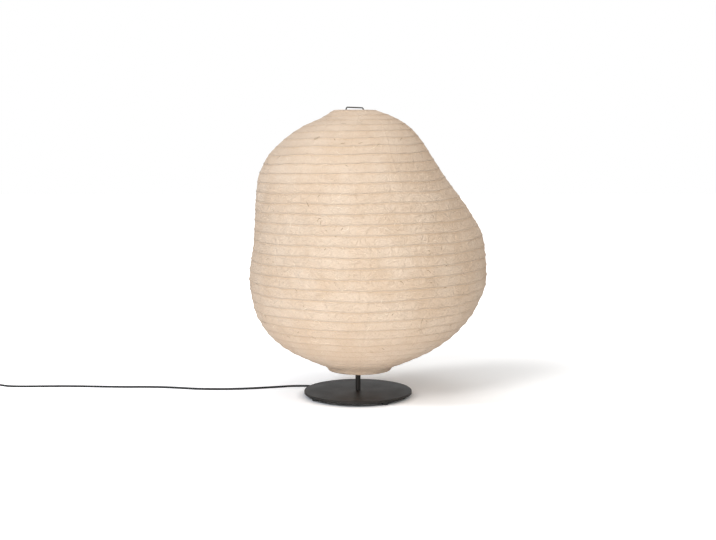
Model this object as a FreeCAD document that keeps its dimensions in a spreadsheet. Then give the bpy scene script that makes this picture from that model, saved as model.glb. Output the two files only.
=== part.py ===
"""Paper lantern floor lamp: a weighted disc on rubber feet, a thin stem with a lampholder,
and a ribbed paper shade that hangs on a wire stretcher. Millimetres, +Z up. The origin is
the middle of the footprint on the floor; the stem stands a little to the left of it,
because the hand-made shade bulges further to the right."""
import FreeCAD, Part
import math
import os
import re
import Sketcher
from FreeCAD import Rotation, Vector

doc = FreeCAD.newDocument("paper_lantern_lamp")
sheet = doc.addObject("Spreadsheet::Sheet", "Sizes")
aliases = []


def size(alias, value):
    """One driving dimension: a plain number in the sheet, under its own name."""
    row = len(aliases) + 1
    sheet.set("A%d" % row, alias.replace("_", " "))
    sheet.set("B%d" % row, str(value))
    sheet.setAlias("B%d" % row, alias)
    aliases.append(alias)


# ---------------------------------------------------------------- driving dimensions
STEM_OFFSET = 23  # stem axis, left of the origin
FIT_GAP = 0.3  # clearance between pieces that move past each other
SLIP_GAP = 0.1  # clearance between fixed pieces that slide together

BASE_RADIUS = 125  # base disc
BASE_THICKNESS = 6  # base disc
BASE_EDGE = 0.8  # bevel round the disc's top and bottom rim
FOOT_HEIGHT = 6.5  # rubber foot below the disc
FOOT_RADIUS = 8  # rubber foot
FOOT_EDGE = 1.2  # rounding of a foot's lower rim
FOOT_INSET = 11  # from the disc's rim in to each foot's centre
FOOT_ANGLE = 32.4  # direction of the first foot
FOOT_COUNT = 4  # rubber feet

STEM_RADIUS = 6  # stem tube
STEM_WALL = 1  # stem tube
STEM_TOP = 252  # top of the stem above the floor
NIPPLE_BORE = 3.5  # radius of the hole through the threaded nipples
NIPPLE_GRIP = 12  # nipple inside the stem
WASHER_RADIUS = 10  # washer under the disc
WASHER_THICKNESS = 0.8  # washer under the disc
NUT_CORNER = 8  # hexagon nut, centre to corner
NUT_THICKNESS = 2  # hexagon nut
RECESS_RADIUS = 12  # recess for nut and washer in the disc's underside

CORD_RADIUS = 2.5  # round flex
FLEX_HEIGHT = 4.6  # flex centre under the disc
FLEX_BEND = 5  # flex bend out of the stem, centre line
EXIT_ANGLE = 145  # direction in which the flex leaves the disc
SADDLE_WALL = 1  # cord saddle strap
SADDLE_EAR = 10  # cord saddle, centre to the end of an ear
SADDLE_WIDTH = 8  # cord saddle along the flex
SADDLE_INSET = 19  # from the disc's rim in to the saddle's middle
SADDLE_SCREW = 1.5  # saddle screw shank radius
SADDLE_HEAD = 2.6  # saddle screw head radius
SADDLE_HEAD_HEIGHT = 1.5  # saddle screw head
SADDLE_SCREW_DEPTH = 3.5  # saddle screw in the disc
SADDLE_SCREW_REACH = 6.8  # from the flex to a saddle screw

GALLERY_RADIUS = 38  # gallery that carries the shade
GALLERY_SHEET = 1.2  # gallery and rim thickness
GALLERY_RIM = 4.2  # height of the gallery with its rim
SLIP_WIDTH = 5.5  # slip washer, from its bore to its rim
SLIP_THICKNESS = 1  # slip washer

HOLDER_RADIUS = 17.5  # lampholder cap
HOLDER_WALL = 1.8  # lampholder walls
HOLDER_CAP_HEIGHT = 22  # lampholder cap
HOLDER_SLEEVE_HEIGHT = 32  # lampholder sleeve
HOLDER_MOUTH = 20  # lampholder sleeve radius at its mouth
HOLDER_LIP = 5  # height of the sleeve's thicker mouth
INSERT_HEIGHT = 11  # ceramic insert
SCREW_SHELL_RADIUS = 14.3  # brass screw shell, outside
SCREW_SHELL_WALL = 0.5  # brass screw shell
SCREW_SHELL_HEIGHT = 26  # brass screw shell
CONTACT_HEIGHT = 2.5  # centre contact above the insert
CONTACT_RADIUS = 3.5  # centre contact

BULB_RADIUS = 30  # globe
BULB_RISE = 74  # from the bulb's tip to the middle of the globe
BULB_NECK = 13.4  # globe neck radius
BULB_CAP_RADIUS = 13.1  # screw cap
BULB_NECK_HEIGHT = 6  # straight neck below the globe
BULB_CAP_HEIGHT = 25  # screw cap
BULB_TIP_RADIUS = 4.8  # tip contact
BULB_TIP_HEIGHT = 1.8  # tip contact

WIRE_RADIUS = 1.5  # rings and stretcher
STRETCHER_REACH = 42  # from the shade's axis to a stretcher leg
STRETCHER_ANGLE = 62  # direction of the stretcher's far leg
STRETCHER_RISE = 6  # from the shade's upper edge to the cross bar
STRETCHER_CORNER = 7  # bend at the ends of the cross bar
STRETCHER_FLARE = 26  # height over which a leg turns out to the bottom ring
SEAT_INSET = 3.5  # from the gallery's edge in to the seat ring's centre line
STRETCHER_JOINT = 44  # from the cross bar down to the joint in each leg
WELD_SINK = 0.4  # depth to which welded wires sink into each other
SHADE_BOTTOM = 62.3  # height of the shade's lower edge
BOTTOM_OPENING = 72.5  # radius of the shade's lower edge
TOP_OPENING = 48  # radius of the shade's upper edge
SHADE_LEAN = 0.0175  # sideways lean of the shade for each unit of height
PAPER_WALL = 0.4  # thinnest place of the paper skin
STRIP_COUNT = 24  # flat strips round the shade
PANEL_STRIPS = 2  # strips in one paper panel
RIB_COUNT = 34  # turns of the bamboo rib
RIB_SAG = 0.8  # paper drawn in between two ribs

# Shade outline upwards from the lower edge. Each station: rise from the one below it, and
# reach to the left and to the right of the stem.
STATION_COUNT = 13  # heights between the two openings at which the shade was measured
STATION_1_RISE = 7.7
STATION_1_LEFT = 74
STATION_1_RIGHT = 82
STATION_2_RISE = 20
STATION_2_LEFT = 116
STATION_2_RIGHT = 126
STATION_3_RISE = 30
STATION_3_LEFT = 173
STATION_3_RIGHT = 185
STATION_4_RISE = 40
STATION_4_LEFT = 214
STATION_4_RIGHT = 235
STATION_5_RISE = 50
STATION_5_LEFT = 239
STATION_5_RIGHT = 272
STATION_6_RISE = 70
STATION_6_LEFT = 249
STATION_6_RIGHT = 295
STATION_7_RISE = 80
STATION_7_LEFT = 239
STATION_7_RIGHT = 288
STATION_8_RISE = 80
STATION_8_LEFT = 235
STATION_8_RIGHT = 247
STATION_9_RISE = 60
STATION_9_LEFT = 229
STATION_9_RIGHT = 202
STATION_10_RISE = 50
STATION_10_LEFT = 208
STATION_10_RIGHT = 169
STATION_11_RISE = 40
STATION_11_LEFT = 170
STATION_11_RIGHT = 143
STATION_12_RISE = 30
STATION_12_LEFT = 127
STATION_12_RIGHT = 116
STATION_13_RISE = 22
STATION_13_LEFT = 79
STATION_13_RIGHT = 81
SHADE_TOP_RISE = 15.5  # from the last station to the shade's upper edge

SWITCH_REACH = 922  # from the stem to the middle of the switch
SWITCH_BACK = 82  # from the stem back to the switch and the cord's end
SWITCH_LENGTH = 60  # switch housing
SWITCH_WIDTH = 26  # switch housing
SWITCH_HEIGHT = 17.5  # switch housing
SWITCH_SPLIT = 9  # height of the joint between the housing's halves
SWITCH_WALL = 1.8  # switch housing
SWITCH_CORNER = 8  # switch housing, corner radius in plan
SWITCH_EDGE = 2  # switch housing, rounding of the long edges
SWITCH_AXIS = 7  # height at which the cord enters the switch
SLEEVE_LENGTH = 20  # rubber sleeve at each end of the switch
SLEEVE_RADIUS = 4.6  # sleeve at the housing
SLEEVE_TIP = 3.4  # sleeve at its tip
ROCKER_LENGTH = 20  # rocker
ROCKER_WIDTH = 14  # rocker
ROCKER_RISE = 5.5  # from the rocker's pivot to its high ends
ROCKER_DIP = 4.2  # from the rocker's pivot to the middle of its face
ROCKER_DROP = 3  # from the rocker's pivot to its underside
ROCKER_PIVOT = 13.8  # height of the rocker's pivot
ROCKER_TILT = 8  # tilt of the rocker in the off position
ROCKER_PLAY = 1.4  # from the rocker's end to the window's edge
PIVOT_RADIUS = 1  # pivot pin
PIVOT_RUNNING = 0.05  # running clearance round the pivot pin
SWITCH_SCREW = 1.4  # switch screw shank radius
SWITCH_SCREW_HEAD = 2.6  # switch screw head radius
SWITCH_SCREW_REACH = 25.5  # from the switch's middle to a screw
SWITCH_SCREW_SINK = 1.5  # depth of the recess for a screw head
SWITCH_SCREW_HEAD_HEIGHT = 1.2  # switch screw head
SWITCH_SCREW_BITE = 3  # screw in the cover, past the joint
SWITCH_SCREW_END = 1  # hole beyond the end of the screw

COIL_X = 1020  # from the stem to the coil's middle
COIL_RADIUS = 37.5  # outermost turn, centre line
COIL_STEP = 5.6  # from one turn to the next, and from layer to layer
COIL_TURNS = 2  # turns in each of the two layers
PLUG_TAIL = 52  # from the coil's middle to the tip of the plug's sleeve
PLUG_AXIS = 6.9  # height of the plug's middle
PLUG_SLEEVE_LENGTH = 24  # rubber sleeve of the plug
PLUG_SLEEVE_RADIUS = 5  # plug sleeve at the plug
PLUG_LENGTH = 30  # plug body
PLUG_WIDTH = 35.3  # plug body at the pins
PLUG_NECK = 14  # plug body width at the sleeve
PLUG_HEIGHT = 13.7  # plug body
PLUG_EDGE = 2  # plug body, bevel
PIN_RADIUS = 2  # plug pin
PIN_LENGTH = 19  # plug pin
PIN_SPACING = 18.6  # from pin to pin

WIRE_SIDES = 6  # flat sides of a wire
CORD_SIDES = 6  # flat sides of the flex
SAME_STRETCH = 40  # flex closer than this along its length isn't tested against itself
SLEEVE_SIDES = 12  # flat sides of a rubber sleeve
GLOBE_CHORDS = 9  # rows of facets on the bulb's globe
GLOBE_SIDES = 20  # facets round the bulb's globe
COIL_CHORDS = 8  # chords in each half turn of the coil

for name, value in (
        ("stem_offset", STEM_OFFSET), ("fit_gap", FIT_GAP), ("slip_gap", SLIP_GAP),
        ("base_radius", BASE_RADIUS), ("base_thickness", BASE_THICKNESS),
        ("base_edge", BASE_EDGE), ("foot_height", FOOT_HEIGHT), ("foot_radius", FOOT_RADIUS),
        ("foot_edge", FOOT_EDGE), ("foot_inset", FOOT_INSET), ("foot_angle", FOOT_ANGLE),
        ("foot_count", FOOT_COUNT), ("stem_radius", STEM_RADIUS), ("stem_wall", STEM_WALL),
        ("stem_top", STEM_TOP), ("nipple_bore", NIPPLE_BORE), ("nipple_grip", NIPPLE_GRIP),
        ("washer_radius", WASHER_RADIUS), ("washer_thickness", WASHER_THICKNESS),
        ("nut_corner", NUT_CORNER), ("nut_thickness", NUT_THICKNESS),
        ("recess_radius", RECESS_RADIUS), ("cord_radius", CORD_RADIUS),
        ("flex_height", FLEX_HEIGHT), ("flex_bend", FLEX_BEND), ("exit_angle", EXIT_ANGLE),
        ("saddle_wall", SADDLE_WALL), ("saddle_ear", SADDLE_EAR), ("saddle_width", SADDLE_WIDTH),
        ("saddle_inset", SADDLE_INSET), ("saddle_screw", SADDLE_SCREW),
        ("saddle_head", SADDLE_HEAD), ("saddle_head_height", SADDLE_HEAD_HEIGHT),
        ("saddle_screw_depth", SADDLE_SCREW_DEPTH), ("saddle_screw_reach", SADDLE_SCREW_REACH),
        ("gallery_radius", GALLERY_RADIUS), ("gallery_sheet", GALLERY_SHEET),
        ("gallery_rim", GALLERY_RIM), ("slip_width", SLIP_WIDTH),
        ("slip_thickness", SLIP_THICKNESS), ("holder_radius", HOLDER_RADIUS),
        ("holder_wall", HOLDER_WALL), ("holder_cap_height", HOLDER_CAP_HEIGHT),
        ("holder_sleeve_height", HOLDER_SLEEVE_HEIGHT), ("holder_mouth", HOLDER_MOUTH),
        ("holder_lip", HOLDER_LIP), ("insert_height", INSERT_HEIGHT),
        ("screw_shell_radius", SCREW_SHELL_RADIUS), ("screw_shell_wall", SCREW_SHELL_WALL),
        ("screw_shell_height", SCREW_SHELL_HEIGHT), ("contact_height", CONTACT_HEIGHT),
        ("contact_radius", CONTACT_RADIUS), ("bulb_radius", BULB_RADIUS),
        ("bulb_rise", BULB_RISE), ("bulb_neck", BULB_NECK), ("bulb_cap_radius", BULB_CAP_RADIUS),
        ("bulb_neck_height", BULB_NECK_HEIGHT), ("bulb_cap_height", BULB_CAP_HEIGHT),
        ("bulb_tip_radius", BULB_TIP_RADIUS), ("bulb_tip_height", BULB_TIP_HEIGHT),
        ("wire_radius", WIRE_RADIUS), ("stretcher_reach", STRETCHER_REACH),
        ("stretcher_angle", STRETCHER_ANGLE), ("stretcher_rise", STRETCHER_RISE),
        ("stretcher_corner", STRETCHER_CORNER), ("stretcher_flare", STRETCHER_FLARE),
        ("seat_inset", SEAT_INSET), ("stretcher_joint", STRETCHER_JOINT), ("weld_sink", WELD_SINK), ("shade_bottom", SHADE_BOTTOM),
        ("bottom_opening", BOTTOM_OPENING), ("top_opening", TOP_OPENING),
        ("shade_lean", SHADE_LEAN), ("paper_wall", PAPER_WALL), ("strip_count", STRIP_COUNT),
        ("panel_strips", PANEL_STRIPS), ("rib_count", RIB_COUNT), ("rib_sag", RIB_SAG),
        ("station_1_rise", STATION_1_RISE), ("station_1_left", STATION_1_LEFT),
        ("station_1_right", STATION_1_RIGHT), ("station_2_rise", STATION_2_RISE),
        ("station_2_left", STATION_2_LEFT), ("station_2_right", STATION_2_RIGHT),
        ("station_3_rise", STATION_3_RISE), ("station_3_left", STATION_3_LEFT),
        ("station_3_right", STATION_3_RIGHT), ("station_4_rise", STATION_4_RISE),
        ("station_4_left", STATION_4_LEFT), ("station_4_right", STATION_4_RIGHT),
        ("station_5_rise", STATION_5_RISE), ("station_5_left", STATION_5_LEFT),
        ("station_5_right", STATION_5_RIGHT), ("station_6_rise", STATION_6_RISE),
        ("station_6_left", STATION_6_LEFT), ("station_6_right", STATION_6_RIGHT),
        ("station_7_rise", STATION_7_RISE), ("station_7_left", STATION_7_LEFT),
        ("station_7_right", STATION_7_RIGHT), ("station_8_rise", STATION_8_RISE),
        ("station_8_left", STATION_8_LEFT), ("station_8_right", STATION_8_RIGHT),
        ("station_9_rise", STATION_9_RISE), ("station_9_left", STATION_9_LEFT),
        ("station_9_right", STATION_9_RIGHT), ("station_10_rise", STATION_10_RISE),
        ("station_10_left", STATION_10_LEFT), ("station_10_right", STATION_10_RIGHT),
        ("station_11_rise", STATION_11_RISE), ("station_11_left", STATION_11_LEFT),
        ("station_11_right", STATION_11_RIGHT), ("station_12_rise", STATION_12_RISE),
        ("station_12_left", STATION_12_LEFT), ("station_12_right", STATION_12_RIGHT),
        ("station_13_rise", STATION_13_RISE), ("station_13_left", STATION_13_LEFT),
        ("station_13_right", STATION_13_RIGHT), ("shade_top_rise", SHADE_TOP_RISE),
        ("switch_reach", SWITCH_REACH), ("switch_back", SWITCH_BACK),
        ("switch_length", SWITCH_LENGTH), ("switch_width", SWITCH_WIDTH),
        ("switch_height", SWITCH_HEIGHT), ("switch_split", SWITCH_SPLIT),
        ("switch_wall", SWITCH_WALL), ("switch_corner", SWITCH_CORNER),
        ("switch_edge", SWITCH_EDGE), ("switch_axis", SWITCH_AXIS),
        ("sleeve_length", SLEEVE_LENGTH), ("sleeve_radius", SLEEVE_RADIUS),
        ("sleeve_tip", SLEEVE_TIP), ("rocker_length", ROCKER_LENGTH),
        ("rocker_width", ROCKER_WIDTH), ("rocker_rise", ROCKER_RISE), ("rocker_dip", ROCKER_DIP),
        ("rocker_drop", ROCKER_DROP), ("rocker_pivot", ROCKER_PIVOT),
        ("rocker_tilt", ROCKER_TILT), ("rocker_play", ROCKER_PLAY),
        ("pivot_radius", PIVOT_RADIUS), ("pivot_running", PIVOT_RUNNING),
        ("switch_screw", SWITCH_SCREW), ("switch_screw_head", SWITCH_SCREW_HEAD),
        ("switch_screw_reach", SWITCH_SCREW_REACH), ("switch_screw_sink", SWITCH_SCREW_SINK),
        ("switch_screw_head_height", SWITCH_SCREW_HEAD_HEIGHT),
        ("switch_screw_bite", SWITCH_SCREW_BITE), ("switch_screw_end", SWITCH_SCREW_END),
        ("coil_x", COIL_X), ("coil_radius", COIL_RADIUS), ("coil_step", COIL_STEP),
        ("coil_turns", COIL_TURNS), ("plug_tail", PLUG_TAIL), ("plug_axis", PLUG_AXIS),
        ("plug_sleeve_length", PLUG_SLEEVE_LENGTH), ("plug_sleeve_radius", PLUG_SLEEVE_RADIUS),
        ("plug_length", PLUG_LENGTH), ("plug_width", PLUG_WIDTH), ("plug_neck", PLUG_NECK),
        ("plug_height", PLUG_HEIGHT), ("plug_edge", PLUG_EDGE), ("pin_radius", PIN_RADIUS),
        ("pin_length", PIN_LENGTH), ("pin_spacing", PIN_SPACING), ("wire_sides", WIRE_SIDES),
        ("cord_sides", CORD_SIDES), ("sleeve_sides", SLEEVE_SIDES),
        ("globe_chords", GLOBE_CHORDS), ("globe_sides", GLOBE_SIDES),
        ("coil_chords", COIL_CHORDS),
):
    size(name, value)
doc.recompute()


def val(alias):
    """The sheet's present number under this name."""
    return float(getattr(sheet, alias))


def bind(expression):
    """The same expression with every sheet name given in full."""
    return re.sub(r"[a-z][a-z0-9_]*", lambda found: "Sizes." + found.group(0)
                  if found.group(0) in aliases else found.group(0), expression)


def number(expression):
    """The present value of an expression of sheet names."""
    return float(sheet.evalExpression(bind(expression)))


# ---------------------------------------------------------------- heights and places
SHADE_TOP = "(shade_bottom + %s + shade_top_rise)" % " + ".join(
    "station_%d_rise" % station for station in range(1, STATION_COUNT + 1))
DISC_TOP = "(foot_height + base_thickness)"
FOOT_CIRCLE = "(base_radius - foot_inset)"
SADDLE_REACH = "(base_radius - saddle_inset)"
SEAT_RADIUS = "(gallery_radius - seat_inset)"
FLEX_TOP = "(flex_height + cord_radius)"
RECESS_DEPTH = "(%s + fit_gap + nut_thickness + washer_thickness - foot_height)" % FLEX_TOP
RECESS_TOP = "(foot_height + %s)" % RECESS_DEPTH
WASHER_BOTTOM = "(%s - washer_thickness)" % RECESS_TOP
NUT_BOTTOM = "(%s - nut_thickness)" % WASHER_BOTTOM
STEM_BORE = "(stem_radius - stem_wall)"
NIPPLE_RADIUS = "(%s - slip_gap)" % STEM_BORE
NIPPLE_BOTTOM = "(%s + 0.25 * nut_thickness)" % NUT_BOTTOM
WIRE_FLAT = "(wire_radius * cos(%g * 1deg))" % (180.0 / WIRE_SIDES)
SLIP_BOTTOM = "(stem_top + gallery_sheet + fit_gap)"
SEAT_HEIGHT = "(%s + slip_thickness + fit_gap + %s)" % (SLIP_BOTTOM, WIRE_FLAT)
CAP_BOTTOM = "(stem_top + gallery_sheet)"
CAP_TOP = "(%s + holder_cap_height)" % CAP_BOTTOM
INSERT_BOTTOM = "(%s - insert_height)" % CAP_TOP
SLEEVE_TOP = "(%s + holder_sleeve_height)" % CAP_TOP
CONTACT_TOP = "(%s + contact_height)" % CAP_TOP
BULB_TIP = "(%s + fit_gap)" % CONTACT_TOP
BULB_CAP_BOTTOM = "(%s + bulb_tip_height)" % BULB_TIP
BULB_CAP_TOP = "(%s + bulb_cap_height)" % BULB_CAP_BOTTOM
SWITCH_X = "(0 - stem_offset - switch_reach)"
PLUG_X = "(0 - stem_offset - coil_x + plug_tail)"
PLUG_Y = "(switch_back - 2 * coil_radius)"


# ---------------------------------------------------------------- ways of building a piece
def place(item, x="0 - stem_offset", y="0", z="0"):
    """Bind an object's own placement to the sheet; the stem axis unless told otherwise."""
    for axis, expression in (("x", x), ("y", y), ("z", z)):
        item.setExpression("Placement.Base.%s" % axis, bind(expression))
    return item


def new_body(label, **where):
    body = doc.addObject("PartDesign::Body", label)
    body.Label = label
    body.AllowCompound = True
    return place(body, **where)


def new_sketch(body, name, role="XY_Plane", lift=None):
    """A sketch on one of the body's own planes, raised along its normal by an expression."""
    sketch = body.newObject("Sketcher::SketchObject", name)
    plane = [item for item in body.Origin.OriginFeatures if item.Role == role][0]
    sketch.AttachmentSupport = [(plane, "")]
    sketch.MapMode = "FlatFace"
    if lift:
        sketch.setExpression("AttachmentOffset.Base.z", bind(lift))
    return sketch


def pin_down(sketch, geometry, vertex, x, y):
    """Fix one point of a sketch at (x, y), given as expressions."""
    for kind, axis, expression in (("DistanceX", -2, x), ("DistanceY", -1, y)):
        at = sketch.evalExpression(bind(expression))
        if expression.strip() == "0":
            sketch.addConstraint(Sketcher.Constraint("PointOnObject", geometry, vertex, axis))
            continue
        constraint = Sketcher.Constraint(kind, -1, 1, geometry, vertex, float(at))
        index = sketch.addConstraint(constraint)
        sketch.setExpression("Constraints[%d]" % index, bind(expression))


def outline(sketch, corners):
    """A closed outline of straight sides through corners given as pairs of expressions."""
    spots = [Vector(number(x), number(y), 0) for x, y in corners]
    for start, end in zip(spots, spots[1:] + spots[:1]):
        sketch.addGeometry(Part.LineSegment(start, end), False)
    for side in range(len(corners)):
        after = (side + 1) % len(corners)
        sketch.addConstraint(Sketcher.Constraint("Coincident", side, 2, after, 1))
    for side, (x, y) in enumerate(corners):
        pin_down(sketch, side, 1, x, y)


def circle(sketch, radius, x="0", y="0"):
    centre = Vector(number(x), number(y), 0)
    ring = sketch.addGeometry(Part.Circle(centre, Vector(0, 0, 1), number(radius)), False)
    pin_down(sketch, ring, 3, x, y)
    index = sketch.addConstraint(Sketcher.Constraint("Radius", ring, number(radius)))
    sketch.setExpression("Constraints[%d]" % index, bind(radius))


def pad(body, sketch, length, name="Pad"):
    feature = body.newObject("PartDesign::Pad", name)
    feature.Profile = sketch
    feature.setExpression("Length", bind(length))
    return feature


def pocket(body, sketch, depth, upwards=False, name="Pocket"):
    """Cut down from the sketch, or up from it; the body has to lose volume."""
    doc.recompute()
    before = body.Shape.Volume
    feature = body.newObject("PartDesign::Pocket", name)
    feature.Profile = sketch
    feature.setExpression("Length", bind(depth))
    feature.Reversed = upwards
    doc.recompute()
    assert body.Shape.Volume < before, "%s cuts nothing" % feature.Label
    return feature


def turned(label, corners, **where):
    """A body of revolution about Z from an outline of (radius, height) expressions."""
    body = new_body(label, **where)
    sketch = new_sketch(body, "Profile", "XZ_Plane")
    outline(sketch, corners)
    turn = body.newObject("PartDesign::Revolution", "Turn")
    turn.Profile = sketch
    turn.ReferenceAxis = (sketch, ["V_Axis"])
    turn.Angle = 360
    return body


def tube(label, inner, outer, bottom, top, **where):
    """A plain round tube, washer or disc with a hole."""
    corners = ((inner, bottom), (outer, bottom), (outer, top), (inner, top))
    return turned(label, corners, **where)


def round_edges(body, kind, amount, chosen):
    """Fillet or chamfer the edges of the tip that the test picks."""
    doc.recompute()
    tip = body.Tip
    names = ["Edge%d" % (i + 1) for i, edge in enumerate(tip.Shape.Edges) if chosen(edge)]
    assert names, "no edge to round on %s" % body.Label
    feature = body.newObject("PartDesign::" + kind, kind)
    feature.Base = (tip, names)
    feature.setExpression("Radius" if kind == "Fillet" else "Size", bind(amount))
    return feature


def solid_feature(label, shape, x="0 - stem_offset", y="0", z="0"):
    """A sub-part whose shape is worked out here, placed like every other piece."""
    item = doc.addObject("Part::Feature", label)
    item.Label = label
    item.Shape = shape
    return place(item, x, y, z)


def polar(reach, angle, height):
    return Vector(reach * math.cos(math.radians(angle)), reach * math.sin(math.radians(angle)),
                  height)


# ---------------------------------------------------------------- stand
def base_plate():
    """Steel disc: stem hole, nut recess and flex groove below, bevelled rim."""
    body = new_body("base_plate")
    rim = new_sketch(body, "Rim", lift="foot_height")
    circle(rim, "base_radius")
    pad(body, rim, "base_thickness")
    round_edges(body, "Chamfer", "base_edge", lambda edge: edge.Length > 1)
    hole = new_sketch(body, "StemHole", lift=DISC_TOP)
    circle(hole, NIPPLE_RADIUS + " + slip_gap")
    pocket(body, hole, "base_thickness")
    recess = new_sketch(body, "NutRecess", lift="foot_height")
    circle(recess, "recess_radius")
    pocket(body, recess, RECESS_DEPTH, upwards=True)
    groove = new_sketch(body, "FlexGroove", lift="foot_height")
    groove.setExpression("AttachmentOffset.Rotation.Angle", bind("exit_angle"))
    half = "(cord_radius + fit_gap)"
    outline(groove, (("0", "0 - " + half), ("base_radius + 1", "0 - " + half),
                     ("base_radius + 1", half), ("0", half)))
    pocket(body, groove, FLEX_TOP + " + fit_gap - foot_height", upwards=True)
    holes = new_sketch(body, "SaddleHoles", lift="foot_height")
    holes.setExpression("AttachmentOffset.Rotation.Angle", bind("exit_angle"))
    for side in ("saddle_screw_reach", "0 - saddle_screw_reach"):
        circle(holes, "saddle_screw + slip_gap", SADDLE_REACH, side)
    pocket(body, holes, "saddle_screw_depth + fit_gap", upwards=True)


def rubber_feet():
    """Four round pads glued under the disc."""
    body = new_body("rubber_feet")
    first = new_sketch(body, "FirstFoot")
    circle(first, "foot_radius", FOOT_CIRCLE + " * cos(foot_angle * 1deg)",
           FOOT_CIRCLE + " * sin(foot_angle * 1deg)")
    foot = pad(body, first, "foot_height")
    ring = body.newObject("PartDesign::PolarPattern", "Ring")
    ring.Originals = [foot]
    ring.Axis = (first, ["N_Axis"])
    ring.Angle = 360
    ring.setExpression("Occurrences", bind("foot_count"))
    body.Tip = ring
    round_edges(body, "Chamfer", "foot_edge", lambda edge: edge.BoundBox.ZMax < 0.01)


def stem_and_fixings():
    tube("stem_tube", STEM_BORE, "stem_radius", DISC_TOP, "stem_top")
    tube("lower_nipple", "nipple_bore", NIPPLE_RADIUS, NIPPLE_BOTTOM,
         DISC_TOP + " + nipple_grip")
    tube("upper_nipple", "nipple_bore", NIPPLE_RADIUS, "stem_top - nipple_grip",
         CAP_BOTTOM + " + holder_wall + 3")
    tube("base_washer", NIPPLE_RADIUS + " + slip_gap", "washer_radius", WASHER_BOTTOM,
         RECESS_TOP)
    nut = new_body("base_nut")
    hexagon = new_sketch(nut, "Hexagon", lift=NUT_BOTTOM)
    outline(hexagon, [("nut_corner * cos(%d * 1deg)" % turn, "nut_corner * sin(%d * 1deg)" % turn)
                      for turn in range(30, 390, 60)])
    pad(nut, hexagon, "nut_thickness")
    thread = new_sketch(nut, "Thread", lift=WASHER_BOTTOM)
    circle(thread, NIPPLE_RADIUS)
    pocket(nut, thread, "nut_thickness")


def cord_saddle():
    """Strap that holds the flex in its groove: two flat ears and a half-round trough."""
    ear, wall = val("saddle_ear"), val("saddle_wall")
    inner = val("cord_radius") + val("slip_gap")
    outer = inner + wall
    top, middle = val("foot_height"), val("flex_height")
    start = number(SADDLE_REACH) - val("saddle_width") / 2
    spots = [(-ear, top), (-ear, top - wall), (-outer, top - wall), (-outer, middle)]
    right = [(outer, middle), (outer, top - wall), (ear, top - wall), (ear, top), (inner, top),
             (inner, middle)]
    left = [(-inner, middle), (-inner, top), (-ear, top)]

    def spot(pair):
        return Vector(start, pair[0], pair[1])

    def sides(pairs):
        return [Part.makeLine(spot(a), spot(b)) for a, b in zip(pairs, pairs[1:])]

    def trough(radius, first, last):
        low = Vector(start, 0, middle - radius)
        return Part.Arc(spot(first), low, spot(last)).toShape()

    edges = sides(spots) + [trough(outer, (-outer, middle), (outer, middle))] + sides(right)
    edges += [trough(inner, (inner, middle), (-inner, middle))] + sides(left)
    strap = Part.Face(Part.Wire(edges)).extrude(Vector(val("saddle_width"), 0, 0))
    reach = number(SADDLE_REACH)
    for side in (-1, 1):
        low = Vector(reach, side * val("saddle_screw_reach"), top - 2 * wall)
        strap = strap.cut(Part.makeCylinder(val("saddle_screw") + val("slip_gap"), 3 * wall, low))
    strap.rotate(Vector(), Vector(0, 0, 1), val("exit_angle"))
    solid_feature("cord_saddle", strap)
    screws = []
    for side in (-1, 1):
        foot = Vector(reach, side * val("saddle_screw_reach"), top - wall)
        tall = val("saddle_head_height")
        head = Part.makeCylinder(val("saddle_head"), tall, foot - Vector(0, 0, tall))
        shank = Part.makeCylinder(val("saddle_screw"), wall + val("saddle_screw_depth"), foot)
        screws.append(head.fuse(shank).removeSplitter())
    pair = Part.makeCompound(screws)
    pair.rotate(Vector(), Vector(0, 0, 1), val("exit_angle"))
    solid_feature("saddle_screws", pair)


# ---------------------------------------------------------------- pieces with flat faces
def flat_solid(faces):
    """A solid closed by flat faces, each given by its corners."""
    shell = Part.makeShell([Part.Face(Part.makePolygon(face + face[:1])) for face in faces])
    shell.sewShape()
    solid = Part.makeSolid(Part.Shell(shell.Faces))
    if solid.Volume < 0:
        solid.reverse()
    return solid


def taper(foot, way, near, far, length, sides):
    """A tapered peg with flat sides, from its foot along a direction."""
    across = way.cross(Vector(0, 0, 1)).normalize()
    up = across.cross(way)

    def ring(middle, radius):
        turns = (2 * math.pi * side / sides for side in range(sides))
        return [middle + across * (radius * math.cos(turn)) + up * (radius * math.sin(turn))
                for turn in turns]

    low, high = ring(foot, near), ring(foot + way * length, far)
    return flat_solid([low, high] + [[low[side - 1], low[side], high[side], high[side - 1]]
                                     for side in range(sides)])


def chords(path, bend):
    """Corners of straight chords along a wire, none of which spans more than an angle."""
    corners = []
    for edge in path.OrderedEdges:
        radius = getattr(edge.Curve, "Radius", 0)
        spread = math.degrees(edge.Length / radius) if radius else 0
        spots = edge.discretize(max(2, math.ceil(spread / bend - 0.01) + 1))
        if corners and spots[0].distanceToPoint(corners[-1]) > spots[-1].distanceToPoint(corners[-1]):
            spots.reverse()
        corners += spots[1:] if corners else spots
    return corners


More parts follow.
